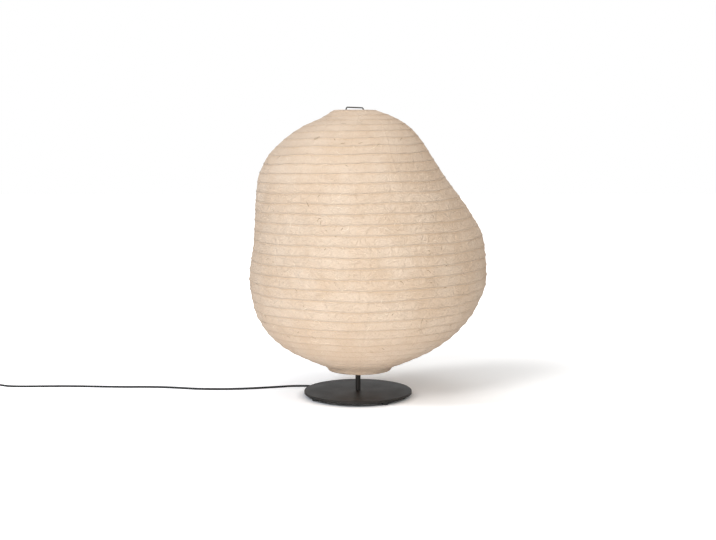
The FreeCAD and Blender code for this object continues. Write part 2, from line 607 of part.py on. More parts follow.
def chord_tube(corners, radius, sides, closed=False):
    """A tube with flat sides along straight chords, mitred where they meet."""
    count = len(corners)
    spans = count if closed else count - 1
    ways = [(corners[(i + 1) % count] - corners[i]).normalize() for i in range(spans)]
    across = ways[0].cross(Vector(0, 0, 1)).normalize()
    up = across.cross(ways[0])
    ring = [corners[0] + across * (radius * math.cos(turn)) + up * (radius * math.sin(turn))
            for turn in (2 * math.pi * side / sides for side in range(sides))]
    rings = []
    for i, corner in enumerate(corners):
        before = ways[i - 1] if i or closed else ways[0]
        after = ways[i] if i < spans else before
        mitre = before + after
        way = before if i else after
        ring = [spot + way * ((corner - spot).dot(mitre) / way.dot(mitre)) for spot in ring]
        rings.append(ring)
    faces = [] if closed else [rings[0], rings[-1]]
    for i in range(spans):
        near, far = rings[i], rings[(i + 1) % count]
        faces += [[near[side - 1], near[side], far[side], far[side - 1]] for side in range(sides)]
    return flat_solid(faces)


# ---------------------------------------------------------------- lampholder and bulb
def lampholder():
    """Saucer gallery, cup, ceramic insert with its contacts, and screw-on sleeve."""
    low = "stem_top"
    inner = "(gallery_radius - gallery_sheet)"
    turned("gallery", (
        (NIPPLE_RADIUS + " + slip_gap", low), ("gallery_radius", low),
        ("gallery_radius", low + " + gallery_rim"), (inner, low + " + gallery_rim"),
        (inner, CAP_BOTTOM), (NIPPLE_RADIUS + " + slip_gap", CAP_BOTTOM)))
    wall = "holder_radius - holder_wall"
    turned("holder_cap", (
        (NIPPLE_RADIUS + " + slip_gap", CAP_BOTTOM), ("holder_radius - 2", CAP_BOTTOM),
        ("holder_radius", CAP_BOTTOM + " + 6"), ("holder_radius", CAP_TOP),
        (wall, CAP_TOP), (wall, CAP_BOTTOM + " + 7"), ("holder_radius - 5", CAP_BOTTOM
         + " + holder_wall"), (NIPPLE_RADIUS + " + slip_gap", CAP_BOTTOM + " + holder_wall")))
    seat = "(%s - slip_gap)" % wall
    turned("terminal_insert", (
        ("0", INSERT_BOTTOM), (seat + " - 2", INSERT_BOTTOM), (seat, INSERT_BOTTOM + " + 2"),
        (seat, CAP_TOP), ("0", CAP_TOP)))
    shell = "(screw_shell_radius - screw_shell_wall)"
    turned("screw_shell", (
        ("contact_radius + 4", CAP_TOP), ("screw_shell_radius", CAP_TOP),
        ("screw_shell_radius", CAP_TOP + " + screw_shell_height"),
        (shell, CAP_TOP + " + screw_shell_height"),
        (shell, CAP_TOP + " + screw_shell_wall"),
        ("contact_radius + 4", CAP_TOP + " + screw_shell_wall")))
    contact = new_body("centre_contact")
    tongue = new_sketch(contact, "Tongue", "XZ_Plane", lift="0 - contact_radius * 0.5")
    reach = "contact_radius"
    outline(tongue, (
        ("0 - " + reach, CAP_TOP), (reach, CAP_TOP), (reach, CAP_TOP + " + 0.5"),
        ("0 - 0.4 * " + reach, CAP_TOP + " + 0.5"), (reach, CONTACT_TOP + " - 0.5"),
        (reach, CONTACT_TOP), ("0 - " + reach, CAP_TOP + " + 1")))
    pad(contact, tongue, "contact_radius")
    bore = "(screw_shell_radius + slip_gap)"
    mouth = SLEEVE_TOP + " - holder_lip"
    turned("holder_sleeve", (
        (bore, CAP_TOP), ("holder_radius", CAP_TOP), ("holder_radius + 0.5", mouth),
        ("holder_mouth", mouth + " + 1"), ("holder_mouth", SLEEVE_TOP),
        (bore, SLEEVE_TOP)))


def bulb():
    """Opal globe with its drawn-in neck, threaded cap and tip contact."""
    low, middle = number(BULB_CAP_TOP), number(BULB_TIP) + val("bulb_rise")
    radius, sides = val("bulb_radius"), int(val("globe_sides"))
    rows = int(val("globe_chords"))
    neck = math.degrees(math.asin(val("bulb_neck") / radius))
    turns = [math.radians(neck + 8 + (172 - neck) * row / rows) for row in range(rows)]
    profile = [(val("bulb_neck"), low), (val("bulb_neck"), low + val("bulb_neck_height"))]
    profile += [(radius * math.sin(turn), middle - radius * math.cos(turn)) for turn in turns]
    rings = [[polar(reach, 360.0 * side / sides, level) for side in range(sides)]
             for reach, level in profile]
    faces, top = [rings[0]], Vector(0, 0, middle + radius)
    for side in range(sides):
        after = (side + 1) % sides
        faces += [[below[side], below[after], above[after], above[side]]
                  for below, above in zip(rings, rings[1:])]
        faces.append([rings[-1][side], rings[-1][after], top])
    solid_feature("bulb_globe", flat_solid(faces))
    turned("bulb_cap", (
        ("0", BULB_CAP_BOTTOM), ("bulb_tip_radius + 1.5", BULB_CAP_BOTTOM),
        ("bulb_cap_radius", BULB_CAP_BOTTOM + " + 4"), ("bulb_cap_radius", BULB_CAP_TOP),
        ("0", BULB_CAP_TOP)))
    turned("bulb_tip", (("0", BULB_TIP), ("bulb_tip_radius - 1", BULB_TIP),
                        ("bulb_tip_radius", BULB_TIP + " + 1"),
                        ("bulb_tip_radius", BULB_CAP_BOTTOM), ("0", BULB_CAP_BOTTOM)))


# ---------------------------------------------------------------- shade
def steady_curve(heights, reaches):
    """Smooth curve through the stations that never swings past them: cubic pieces whose
    slopes are the harmonic mean of the two neighbouring chords."""
    spans = [b - a for a, b in zip(heights, heights[1:])]
    chords = [(b - a) / span for a, b, span in zip(reaches, reaches[1:], spans)]
    slopes = [chords[0]]
    for before, after in zip(chords, chords[1:]):
        slopes.append(0 if before * after <= 0 else 2 * before * after / (before + after))
    slopes.append(chords[-1])

    def curve(height):
        piece = max(i for i in range(len(spans)) if i == 0 or heights[i] <= height)
        span = spans[piece]
        along = (height - heights[piece]) / span
        rest = 1 - along
        return (reaches[piece] * rest * rest * (1 + 2 * along)
                + reaches[piece + 1] * along * along * (3 - 2 * along)
                + span * along * rest * (slopes[piece] * rest - slopes[piece + 1] * along))

    return curve


def shade_axis(height):
    """Sideways place of the leaning shade's own axis at a height, from the stem."""
    return val("shade_lean") * (number(SEAT_HEIGHT) - height)


def shade_curves():
    heights, lefts, rights = [val("shade_bottom")], [], []
    for station in range(1, STATION_COUNT + 1):
        heights.append(heights[-1] + val("station_%d_rise" % station))
        lefts.append(val("station_%d_left" % station))
        rights.append(val("station_%d_right" % station))
    heights.append(number(SHADE_TOP))
    curves = []
    for reaches, sign in ((lefts, -1), (rights, 1)):
        first = val("bottom_opening") + sign * shade_axis(heights[0])
        last = val("top_opening") + sign * shade_axis(heights[-1])
        curves.append(steady_curve(heights, [first] + reaches + [last]))
    return curves


def rib_heights(left, right):
    """Heights of the ribs, evenly spaced along the paper from the lower edge to the upper."""
    low, high = val("shade_bottom"), number(SHADE_TOP)
    steps = 600
    levels = [low + (high - low) * i / steps for i in range(steps + 1)]
    radii = [(left(level) + right(level)) / 2 for level in levels]
    lengths = [0]
    for i in range(steps):
        lengths.append(lengths[-1] + math.hypot(levels[i + 1] - levels[i], radii[i + 1] - radii[i]))
    ribs = []
    count = int(val("rib_count"))
    for rib in range(2 * count + 1):
        target = lengths[-1] * rib / (2 * count)
        after = next((i for i, length in enumerate(lengths) if length >= target), steps)
        after = max(after, 1)
        part = (target - lengths[after - 1]) / (lengths[after] - lengths[after - 1])
        ribs.append(levels[after - 1] + part * (levels[after] - levels[after - 1]))
    print("paper from edge to edge: %.0f mm, rib pitch %.1f mm" % (lengths[-1], lengths[-1] / count))
    return ribs


def paper_skin():
    """Ribbed skin glued together from upright panels of paper: a crest at each rib and a dip
    between two, over a plainer inside that follows every level in the two necks. Every strip
    is flat between two levels, because its two edges are parallel."""
    left, right = shade_curves()
    levels = rib_heights(left, right)
    strips, width = int(val("strip_count")), int(val("panel_strips"))
    dip, wall = val("rib_sag"), val("paper_wall")
    last = len(levels) - 1
    inside = list(range(8)) + list(range(8, last - 8, 2)) + list(range(last - 8, last + 1))

    def spot(level, strip, inward):
        reach_left, reach_right = left(level), right(level)
        centre = Vector((reach_right - reach_left) / 2, 0, level)
        radius = (reach_right + reach_left) / 2 - inward
        return centre + polar(radius, 360.0 * (strip % strips) / strips, 0)

    def outer(rib, strip):
        return spot(levels[rib], strip, dip if rib % 2 else 0)

    def inner(rib, strip):
        return spot(levels[rib], strip, wall if rib in (0, last) else dip + wall)

    def seam(strip):
        """The paper's thickness along one upright edge, in triangles: every line from a dip
        to the inside, or to the next dip, stays within the paper."""
        faces = []
        for low, high in zip(inside, inside[1:]):
            foot, head = inner(low, strip), inner(high, strip)
            if high == low + 1:
                faces += [[foot, outer(low, strip), outer(high, strip)],
                          [foot, outer(high, strip), head]]
                continue
            dips = [outer(rib, strip) for rib in range(low + 1, high, 2)]
            crests = [outer(rib, strip) for rib in range(low, high + 1, 2)]
            faces += [[foot, crests[0], dips[0]], [foot, dips[0], head],
                      [head, dips[-1], crests[-1]]]
            for before, crest, after in zip(dips, crests[1:], dips[1:]):
                faces += [[before, crest, after], [before, after, head]]
        return faces

    panels = []
    for first in range(0, strips, width):
        faces = seam(first) + seam(first + width)
        for one, two in ((strip, strip + 1) for strip in range(first, first + width)):
            faces += [[outer(rib, one), outer(rib, two), outer(rib + 1, two), outer(rib + 1, one)]
                      for rib in range(last)]
            faces += [[inner(low, one), inner(low, two), inner(high, two), inner(high, one)]
                      for low, high in zip(inside, inside[1:])]
            faces += [[outer(rim, one), outer(rim, two), inner(rim, two), inner(rim, one)]
                      for rim in (0, last)]
        panels.append(flat_solid(faces))
    solid_feature("paper_skin", Part.makeCompound(panels))


def shade_rings():
    """Wire rings inside the paper's two edges, with one chord to each strip of paper."""
    wire, strips = val("wire_radius"), int(val("strip_count"))
    for label, opening, height in (
            ("bottom_ring", "bottom_opening", val("shade_bottom") + wire + val("slip_gap")),
            ("top_ring", "top_opening", number(SHADE_TOP) - wire - val("slip_gap"))):
        reach = val(opening) - val("paper_wall") - 2 * val("slip_gap") - wire
        centre = Vector(shade_axis(height), 0, 0)
        corners = [centre + polar(reach, 360.0 * strip / strips, height) for strip in range(strips)]
        solid_feature(label, chord_tube(corners, wire, WIRE_SIDES, closed=True))


def bent_wire(points, radii):
    """A wire of straight runs joined by tangent arcs of the given radii."""
    edges = []
    start = points[0]
    for before, corner, after, radius in zip(points, points[1:], points[2:], radii):
        back = (before - corner).normalize()
        ahead = (after - corner).normalize()
        turn = math.pi - back.getAngle(ahead)
        setback = radius * math.tan(turn / 2)
        enter = corner + back * setback
        leave = corner + ahead * setback
        middle = (back + ahead).normalize()
        crown = corner + middle * (radius / math.cos(turn / 2) - radius)
        if (enter - start).Length > 1e-6:
            edges.append(Part.makeLine(start, enter))
        edges.append(Part.Arc(enter, crown, leave).toShape())
        start = leave
    edges.append(Part.makeLine(start, points[-1]))
    return Part.Wire(edges)


def sweep(path, radius, sides=0):
    """A round tube along a wire, or one with a few flat sides."""
    first = path.Edges[0]
    start = first.valueAt(first.FirstParameter)
    along = first.tangentAt(first.FirstParameter)
    if sides:
        level = Vector(0, 0, 1) if abs(along.z) < 0.9 else Vector(1, 0, 0)
        across = along.cross(level).normalize()
        up = across.cross(along)
        corners = []
        for corner in range(sides + 1):
            angle = 2 * math.pi * corner / sides
            corners.append(start + across * (radius * math.cos(angle))
                           + up * (radius * math.sin(angle)))
        section = Part.makePolygon(corners)
    else:
        section = Part.Wire(Part.makeCircle(radius, start, along))
    return path.makePipeShell([section], True, False)


def stretcher():
    """Welded wire: a bow with the cross bar and the ears that push the top ring up, and below
    it two legs to the bottom ring with the seat ring that rests on the gallery."""
    wire, reach, sink = val("wire_radius"), val("stretcher_reach"), val("weld_sink")
    turn = math.radians(val("stretcher_angle"))
    along = Vector(math.cos(turn), math.sin(turn), 0)

    def spot(distance, height):
        return Vector(shade_axis(height), 0, height) + along * distance

    ring_low = val("shade_bottom") + wire + val("slip_gap")
    ring_high = number(SHADE_TOP) - wire - val("slip_gap")
    foot = ring_low + 2 * wire + val("slip_gap") / 2
    hook = val("bottom_opening") - val("paper_wall") - 3 * wire / 2
    knee = foot + val("stretcher_flare")
    top = number(SHADE_TOP) + val("stretcher_rise")
    corner = val("stretcher_corner")
    path = bent_wire(
        [spot(-hook, foot), spot(-reach, knee), spot(-reach, top), spot(reach, top),
         spot(reach, knee), spot(hook, foot)],
        [3 * corner, corner, corner, 3 * corner])
    frame = sweep(path, wire, WIRE_SIDES)
    seat = number(SEAT_HEIGHT)
    corners = [Vector(number(SEAT_RADIUS), 0, seat)
               + Vector(wire * math.cos(angle), 0, wire * math.sin(angle))
               for angle in (2 * math.pi * side / WIRE_SIDES for side in range(WIRE_SIDES + 1))]
    section = Part.Face(Part.makePolygon(corners))
    frame = frame.fuse(section.revolve(Vector(), Vector(0, 0, 1), 360))
    spoke_height = seat + 2 * number(WIRE_FLAT) - sink
    spoke = reach - number(SEAT_RADIUS) + wire
    ear_height = ring_high - 2 * wire - val("slip_gap") / 2
    ear = val("top_opening") - val("paper_wall") - wire - reach
    for side in (-1, 1):
        inner = spot(side * (number(SEAT_RADIUS) - wire), spoke_height)
        outer = inner + along * side * spoke
        frame = frame.fuse(sweep(Part.Wire(Part.makeLine(inner, outer)), wire, WIRE_SIDES))
        inner = spot(side * reach, ear_height)
        outer = inner + along * side * ear
        frame = frame.fuse(sweep(Part.Wire(Part.makeLine(inner, outer)), wire, WIRE_SIDES))
    joint = number(SHADE_TOP) + val("stretcher_rise") - val("stretcher_joint")
    above = Part.makeBox(4 * reach, 4 * reach, 2 * reach, Vector(-2 * reach, -2 * reach, joint))
    solid_feature("stretcher", Part.makeCompound(
        frame.cut(above).Solids + frame.common(above).Solids))


def slip_washer():
    """Flat nylon ring between the gallery and the shade's seat ring."""
    rim = "gallery_radius - gallery_sheet - fit_gap"
    tube("slip_washer", rim + " - slip_width", rim, SLIP_BOTTOM, SLIP_BOTTOM + " + slip_thickness")


# ---------------------------------------------------------------- flex
def cord_path(points, name):
    """A loose cord's wire: each arc is 0.45 of the shorter run beside it, over the tangent of
    half the turn."""
    radii = []
    for before, corner, after in zip(points, points[1:], points[2:]):
        turn = math.pi - (before - corner).getAngle(after - corner)
        shorter = min((before - corner).Length, (after - corner).Length)
        radii.append(0.45 * shorter / math.tan(turn / 2))
    path = bent_wire(points, radii)
    print("%s: length %.0f mm, radii %s" % (name, path.Length, [round(r) for r in radii]))
    return path


def cord_tube(label, path, sides=0):
    tube_shape = sweep(path, val("cord_radius"), sides)
    section = math.pi * val("cord_radius") ** 2
    if sides:
        section = sides / 2 * val("cord_radius") ** 2 * math.sin(2 * math.pi / sides)
    print("%s: volume over section times length %.4f" % (
        label, tube_shape.Volume / (section * path.Length)))
    return solid_feature(label, tube_shape)


def inner_flex():
    """Flex inside the stem: up to the insert, and along the groove to the disc's rim."""
    low, angle = val("flex_height"), val("exit_angle")
    points = [Vector(0, 0, number(INSERT_BOTTOM)), Vector(0, 0, low),
              polar(val("base_radius") - 1, angle, low)]
    cord_tube("inner_flex", bent_wire(points, [val("flex_bend")]), CORD_SIDES)


def cord_run():
    """Flex on the floor from the disc's rim to the switch, its route chosen point by point:
    (to the right of the stem, back from it, up)."""
    angle, low = val("exit_angle"), val("cord_radius")
    back, axis = val("switch_back"), val("switch_axis")
    end = val("switch_reach") - val("switch_length") / 2 - val("sleeve_length")
    points = [polar(val("base_radius") - 1, angle, val("flex_height")),
              polar(val("base_radius") + 17, angle, val("flex_height") - 0.4)]
    route = ((-134, 87.5, 0.5), (-160, 88, 0), (-192, 78, 0), (-229, 68, 0), (-266, 59, 0),
             (-304, 54, 0), (-345, 53.5, 0), (-385, 56.5, 0), (-424, 67, 0), (-462, 75, 0),
             (-505, 78.5, 0), (-560, 77, 0), (-620, 81.5, 0), (-685, 87, 0), (-745, 86, 0))
    points += [Vector(x, y, low + up) for x, y, up in route]
    points += [Vector(-end + 72, back + 1, low), Vector(-end + 32, back, low + 0.9),
               Vector(-end + 11, back, axis), Vector(-end, back, axis)]
    cord_tube("cord_run", cord_path(points, "cord_run"), CORD_SIDES)


def coil_path():
    """Lead-in from the switch, a spiral in on the floor, one half turn that climbs a layer,
    a spiral out on top of it, and the tail to the plug. Every turn is two half circles."""
    low, axis, back = val("cord_radius"), val("switch_axis"), val("switch_back")
    outer, step = val("coil_radius"), val("coil_step")
    halves = 2 * int(val("coil_turns"))
    start = val("switch_reach") + val("switch_length") / 2 + val("sleeve_length")
    centre = -val("coil_x")
    lead = [Vector(-start, back, axis), Vector(-start - 12, back, axis),
            Vector(-start - 31, back, low), Vector(centre, back, low)]
    edges = list(bent_wire(lead, [30, 30]).Edges)
    spot = lead[-1]
    side = -1
    radii = [outer - step / 2 * half for half in range(halves)]
    radii += [outer - step / 2 * halves]
    radii += [outer - step / 2 * half for half in range(halves - 1, -1, -1)]
    lift = val("coil_step")
    for half, radius in enumerate(radii):
        rise = lift if half == halves else 0
        after = spot + Vector(0, 2 * radius * side, rise)
        middle = (spot + after) * 0.5
        crown = middle + Vector(side * (after - spot).Length / 2, 0, 0)
        edges.append(Part.Arc(spot, crown, after).toShape())
        spot = after
        side = -side
    end = centre + val("plug_tail")
    tail = [spot, spot + Vector(16, 0, 0), Vector(end - 14, spot.y, val("plug_axis")),
            Vector(end, spot.y, val("plug_axis"))]
    edges += bent_wire(tail, [60, 60]).Edges
    return Part.Wire(edges)


def self_gap(path, diameter, near):
    """Least gap between stretches of a wound tube that are further apart than near along it."""
    spots = path.discretize(Distance=2.0)
    skip = int(near / 2.0)
    least = 1e9
    for i, one in enumerate(spots):
        for other in spots[i + skip:]:
            least = min(least, one.distanceToPoint(other))
    return least - diameter


def cord_coil():
    path = coil_path()
    gap = self_gap(path, 2 * val("cord_radius"), SAME_STRETCH)
    print("cord_coil: length %.0f mm, least gap to itself %.2f mm" % (path.Length, gap))
    corners = chords(path, 180.0 / val("coil_chords"))
    solid_feature("cord_coil", chord_tube(corners, val("cord_radius"), CORD_SIDES))


# ---------------------------------------------------------------- switch and plug
def rounded_plan(body, length, width, corner, bottom, height):
    """Block with rounded corners in plan."""
    sketch = new_sketch(body, "Plan", lift=bottom)
    half, side = "%s / 2" % length, "%s / 2" % width
    outline(sketch, (("0 - " + half, "0 - " + side), (half, "0 - " + side), (half, side),
                     ("0 - " + half, side)))
    pad(body, sketch, height)
    round_edges(body, "Fillet", corner,
                lambda edge: abs(edge.BoundBox.ZLength - number(height)) < 0.01)


def cavity(body, length, width, bottom, depth):
    sketch = new_sketch(body, "Cavity", lift=bottom)
    half, side = "%s / 2" % length, "%s / 2" % width
    outline(sketch, (("0 - " + half, "0 - " + side), (half, "0 - " + side), (half, side),
                     ("0 - " + half, side)))
    pocket(body, sketch, depth, upwards=True)


def inline_switch():
    """Two moulded halves, a rocker on its pin, screws and a rubber sleeve at each end."""
    spot = dict(x=SWITCH_X, y="switch_back")
    inside = "(switch_length - 6 * switch_wall)", "(switch_width - 2 * switch_wall)"
    lower = new_body("switch_base", **spot)
    rounded_plan(lower, "switch_length", "switch_width", "switch_corner", "0", "switch_split")
    cavity(lower, inside[0], inside[1], "switch_wall", "switch_split")
    cover = new_body("switch_cover", **spot)
    rounded_plan(cover, "switch_length", "switch_width", "switch_corner", "switch_split",
                 "(switch_height - switch_split)")
    top = val("switch_height")
    round_edges(cover, "Chamfer", "switch_edge", lambda edge: edge.BoundBox.ZMin > top - 0.01)
    cavity(cover, inside[0], inside[1], "switch_split",
           "switch_height - switch_split - switch_wall")
    window = "(rocker_length + 2 * rocker_play)", "(rocker_width + 2 * fit_gap)"
    cavity(cover, window[0], window[1], "switch_split", "switch_height")
    for body, bottom, depth in ((lower, "0", "switch_split"),
                                (cover, "switch_split", "switch_screw_bite + switch_screw_end")):
        holes = new_sketch(body, "ScrewHoles", lift=bottom)
        for side in ("switch_screw_reach", "0 - switch_screw_reach"):
            circle(holes, "switch_screw + slip_gap", side, "0 - switch_width / 4")
        pocket(body, holes, depth, upwards=True)
    sinks = new_sketch(lower, "ScrewSinks", lift="0")
    for side in ("switch_screw_reach", "0 - switch_screw_reach"):
        circle(sinks, "switch_screw_head + slip_gap", side, "0 - switch_width / 4")
    pocket(lower, sinks, "switch_screw_sink", upwards=True)
    rocker = new_body("rocker", **spot)
    rocker.setExpression("Placement.Base.z", bind("rocker_pivot"))
    rocker.setExpression("Placement.Rotation.Axis.x", "0")
    rocker.Placement.Rotation = Rotation(Vector(0, 1, 0), -val("rocker_tilt"))
    form = new_sketch(rocker, "Side", "XZ_Plane", lift="0 - rocker_width / 2")
    half = "rocker_length / 2"
    outline(form, (("0 - %s + 1" % half, "0 - rocker_drop"), (half + " - 1", "0 - rocker_drop"),
                   (half, "rocker_rise"), ("0", "rocker_dip"), ("0 - " + half, "rocker_rise")))
    pad(rocker, form, "rocker_width")
    bore = new_sketch(rocker, "PivotBore", "XZ_Plane", lift="0 - rocker_width / 2")
    circle(bore, "pivot_radius + pivot_running")
    pocket(rocker, bore, "rocker_width", upwards=True)
    pin = doc.addObject("Part::Cylinder", "switch_pin")
    pin.Label = "switch_pin"
    pin.setExpression("Radius", bind("pivot_radius"))
    span = "(switch_width - 2 * switch_wall - 2 * slip_gap)"
    pin.setExpression("Height", bind(span))
    pin.Placement.Rotation = Rotation(Vector(1, 0, 0), -90)
    place(pin, SWITCH_X, "switch_back - %s / 2" % span, "rocker_pivot")


def switch_trim():
    """Screws that hold the switch's halves together, and its two tapered sleeves."""
    screws = []
    for side in (-1, 1):
        foot = Vector(side * val("switch_screw_reach"), -val("switch_width") / 4,
                      val("switch_screw_sink"))
        tall = val("switch_screw_head_height")
        head = Part.makeCylinder(val("switch_screw_head"), tall, foot - Vector(0, 0, tall))
        length = val("switch_split") + val("switch_screw_bite") - val("switch_screw_sink")
        shank = Part.makeCylinder(val("switch_screw"), length, foot)
        screws.append(head.fuse(shank).removeSplitter())
    solid_feature("switch_screws", Part.makeCompound(screws), SWITCH_X, "switch_back")
    sleeves = []
    for side in (-1, 1):
        foot = Vector(side * val("switch_length") / 2, 0, val("switch_axis"))
        sleeves.append(taper(foot, Vector(side, 0, 0), val("sleeve_radius"), val("sleeve_tip"),
                             val("sleeve_length"), SLEEVE_SIDES))
    solid_feature("switch_sleeves", Part.makeCompound(sleeves), SWITCH_X, "switch_back")


def plug():
    """Flat two-pin plug with a tapered sleeve, lying beside the coil."""
    spot = dict(x=PLUG_X + " + plug_sleeve_length", y=PLUG_Y)
    body = new_body("plug_body", **spot)
    plan = new_sketch(body, "Plan", lift="plug_axis - plug_height / 2")
    wide, narrow = "plug_width / 2", "plug_neck / 2"
    outline(plan, (("0", "0 - " + narrow), ("6", "0 - " + narrow),
                   ("plug_length * 0.55", "0 - " + wide), ("plug_length", "0 - " + wide),
                   ("plug_length", wide), ("plug_length * 0.55", wide), ("6", narrow),
                   ("0", narrow)))
    pad(body, plan, "plug_height")
    round_edges(body, "Chamfer", "plug_edge",
                lambda edge: edge.BoundBox.ZLength < 0.01 and edge.BoundBox.XLength > 0.01)
    pins = []
    for side in (-1, 1):
        foot = Vector(val("plug_length"), side * val("pin_spacing") / 2, val("plug_axis"))
        shank = Part.makeCylinder(val("pin_radius"), val("pin_length") - 1, foot, Vector(1, 0, 0))
        tip = Part.makeCone(val("pin_radius"), val("pin_radius") - 1, 1,
                            foot + Vector(val("pin_length") - 1, 0, 0), Vector(1, 0, 0))
        pins.append(shank.fuse(tip))
    solid_feature("plug_pins", Part.makeCompound(pins), **spot)
    foot = Vector(0, 0, val("plug_axis"))
    sleeve = taper(foot, Vector(-1, 0, 0), val("plug_sleeve_radius"), val("sleeve_tip"),
                   val("plug_sleeve_length"), SLEEVE_SIDES)
    solid_feature("plug_sleeve", sleeve, **spot)


for build in (base_plate, rubber_feet, stem_and_fixings, cord_saddle, lampholder, bulb,
              slip_washer, paper_skin, shade_rings, stretcher, inner_flex, cord_run, cord_coil,
              inline_switch, switch_trim, plug):
    build()
doc.recompute()

NODES = (
    "base_plate", "rubber_feet", "stem_tube", "lower_nipple", "upper_nipple", "base_washer",
    "base_nut", "cord_saddle", "saddle_screws", "gallery", "holder_cap", "terminal_insert",
    "screw_shell", "centre_contact", "holder_sleeve", "bulb_globe", "bulb_cap", "bulb_tip",
    "slip_washer", "paper_skin", "bottom_ring", "top_ring", "stretcher", "inner_flex",
    "cord_run", "cord_coil", "switch_base", "switch_cover", "rocker", "switch_pin",
    "switch_screws", "switch_sleeves", "plug_body", "plug_pins", "plug_sleeve",
)
for item in doc.Objects:
    failed = [word for word in item.State if word in ("Invalid", "Error")]
    assert not failed, "%s is %s" % (item.Label, failed)
os.makedirs("parts", exist_ok=True)
for label in NODES:
    piece = doc.getObjectsByLabel(label)[0]
    assert not piece.Shape.isNull() and piece.Shape.isValid(), "%s has no sound shape" % label
    assert piece.Shape.Solids, "%s holds no solid" % label
    piece.Shape.exportStep("parts/%s.step" % label)
print("%d sub-parts written" % len(NODES))
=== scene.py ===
"""Paper lantern floor lamp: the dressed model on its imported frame.

Lengths are in metres in the frame of the CAD model. The stem stands at AXIS, left of the
origin. The pieces made here are shaped in millimetres from the stem, and from_stem turns
them into metres of the frame.
"""
import math

import bpy
import numpy as np
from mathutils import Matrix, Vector


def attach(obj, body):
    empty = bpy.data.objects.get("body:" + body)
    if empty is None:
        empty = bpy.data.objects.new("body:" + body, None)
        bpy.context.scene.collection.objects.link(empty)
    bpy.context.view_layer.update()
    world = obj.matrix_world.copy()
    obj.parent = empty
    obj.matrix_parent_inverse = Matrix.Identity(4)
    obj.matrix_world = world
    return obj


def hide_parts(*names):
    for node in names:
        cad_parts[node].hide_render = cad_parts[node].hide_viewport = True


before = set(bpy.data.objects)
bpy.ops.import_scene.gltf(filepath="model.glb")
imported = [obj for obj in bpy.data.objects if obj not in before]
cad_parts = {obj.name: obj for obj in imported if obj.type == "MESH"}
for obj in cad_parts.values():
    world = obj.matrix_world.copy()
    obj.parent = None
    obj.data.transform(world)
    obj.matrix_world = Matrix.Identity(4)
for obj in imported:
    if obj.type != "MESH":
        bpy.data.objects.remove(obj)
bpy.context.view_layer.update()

AXIS = -0.023
MM = 0.001
TURN = 2 * math.pi

# Shade: height, reach to the left and reach to the right of the stem, in millimetres.
STATIONS = np.array([
    (62.3, 69.1, 75.9), (70, 74, 82), (90, 116, 126), (120, 173, 185), (160, 214, 235),
    (210, 239, 272), (280, 249, 295), (360, 239, 288), (440, 235, 247), (500, 229, 202),
    (550, 208, 169), (590, 170, 143), (620, 127, 116), (642, 79, 81), (657.5, 55, 41)])
RIBS = 34              # turns of the bamboo
PANELS = 12            # glued strips of paper
PANEL_SHIFT = 0.251    # from +X to the first glued joint, in turns round the shade
SEAT = 256.1           # height of the seat ring, which is centred on the stem
LEAN = 0.0175          # shift of the shade's axis to the right for each millimetre below that
PAPER = 0.4            # thickness
SLOPE_STEP = 0.002     # share of the meridian over which its slope is taken

# Relief of the paper: heights in millimetres, widths in shares of one turn of the bamboo.
RIB_CREST, CREST_WIDTH = 0.9, 0.085
PAPER_SAG, DEEPEST_SAG = 1.35, 1.45
TUCK_DEPTH, TUCK_PLACE, TUCK_WIDTH = 0.40, -0.13, 0.07
LAP_HEIGHT, LAP_WIDTH, PANEL_BLEND = 0.25, 0.05, 0.07
RIM_FADE = 0.012       # share of the meridian in which the relief dies out at a rim
RIM_SNAP = 0.0006      # points nearer than this to a rim are points of the rim
WANDER_REACH = 1.3

# Waves round the shade: a seed, then fewest and most crests round it, most crests up it
# and height in millimetres.
UNEVEN = 5, [(1, 3, 1.5, 0.5), (2, 5, 3, 0.4), (3, 8, 5, 0.3)]
LONG_CREASES = 11, [(9, 16, 26, 0.6), (14, 22, 30, 0.5), (20, 30, 40, 0.4)]
SHORT_CREASES = 17, [(5, 12, 34, 0.7), (16, 26, 44, 0.5), (24, 38, 20, 0.4)]
WANDER = 29, [(3, 7, 9, 0.55), (8, 15, 14, 0.5), (16, 27, 20, 0.35)]
ROLL_WOBBLE = 23, [(5, 9, 0, 1.0), (12, 20, 0, 0.6)]

# How slack the paper is at each share of the meridian, and by how much that differs from
# strip to strip and from turn to turn.
LOOSE_AT = [0.0, 0.10, 0.25, 0.42, 0.60, 0.72, 0.85, 1.0]
LOOSE = [0.45, 0.5, 0.75, 1.0, 1.0, 0.65, 0.35, 0.35]
SLACK = np.random.default_rng(31).uniform(0.45, 1.45, (PANELS, 64))


# ---------------------------------------------------------------- meshes

def from_stem(points):
    """Millimetres from the stem as metres of the frame."""
    return np.asarray(points) * MM + np.array([AXIS, 0, 0])


def mesh_piece(name, points, faces, material, body, smooth=True, uvs=None):
    """A mesh object from points in metres and faces of any number of corners."""
    mesh = bpy.data.meshes.new(name)
    mesh.from_pydata([tuple(map(float, point)) for point in points], [],
                     [tuple(map(int, face)) for face in faces])
    if uvs is not None:
        layer = mesh.uv_layers.new(name="paper")
        layer.data.foreach_set("uv", np.asarray(uvs, dtype=np.float32).ravel())
    mesh.polygons.foreach_set("use_smooth", [smooth] * len(mesh.polygons))
    mesh.validate()
    mesh.update()
    piece = bpy.data.objects.new(name, mesh)
    bpy.context.scene.collection.objects.link(piece)
    mesh.materials.append(material)
    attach(piece, body)
    return piece


def bands(rings, sides, closed=False, inward=False):
    """Quads between neighbouring rings of points, each ring with the same number of sides."""
    faces = []
    for i in range(rings if closed else rings - 1):
        low, high = i * sides, (i + 1) % rings * sides
        for j in range(sides):
            k = (j + 1) % sides
            faces.append((low + j, high + j, high + k, low + k) if inward
                         else (low + j, low + k, high + k, high + j))
    return faces


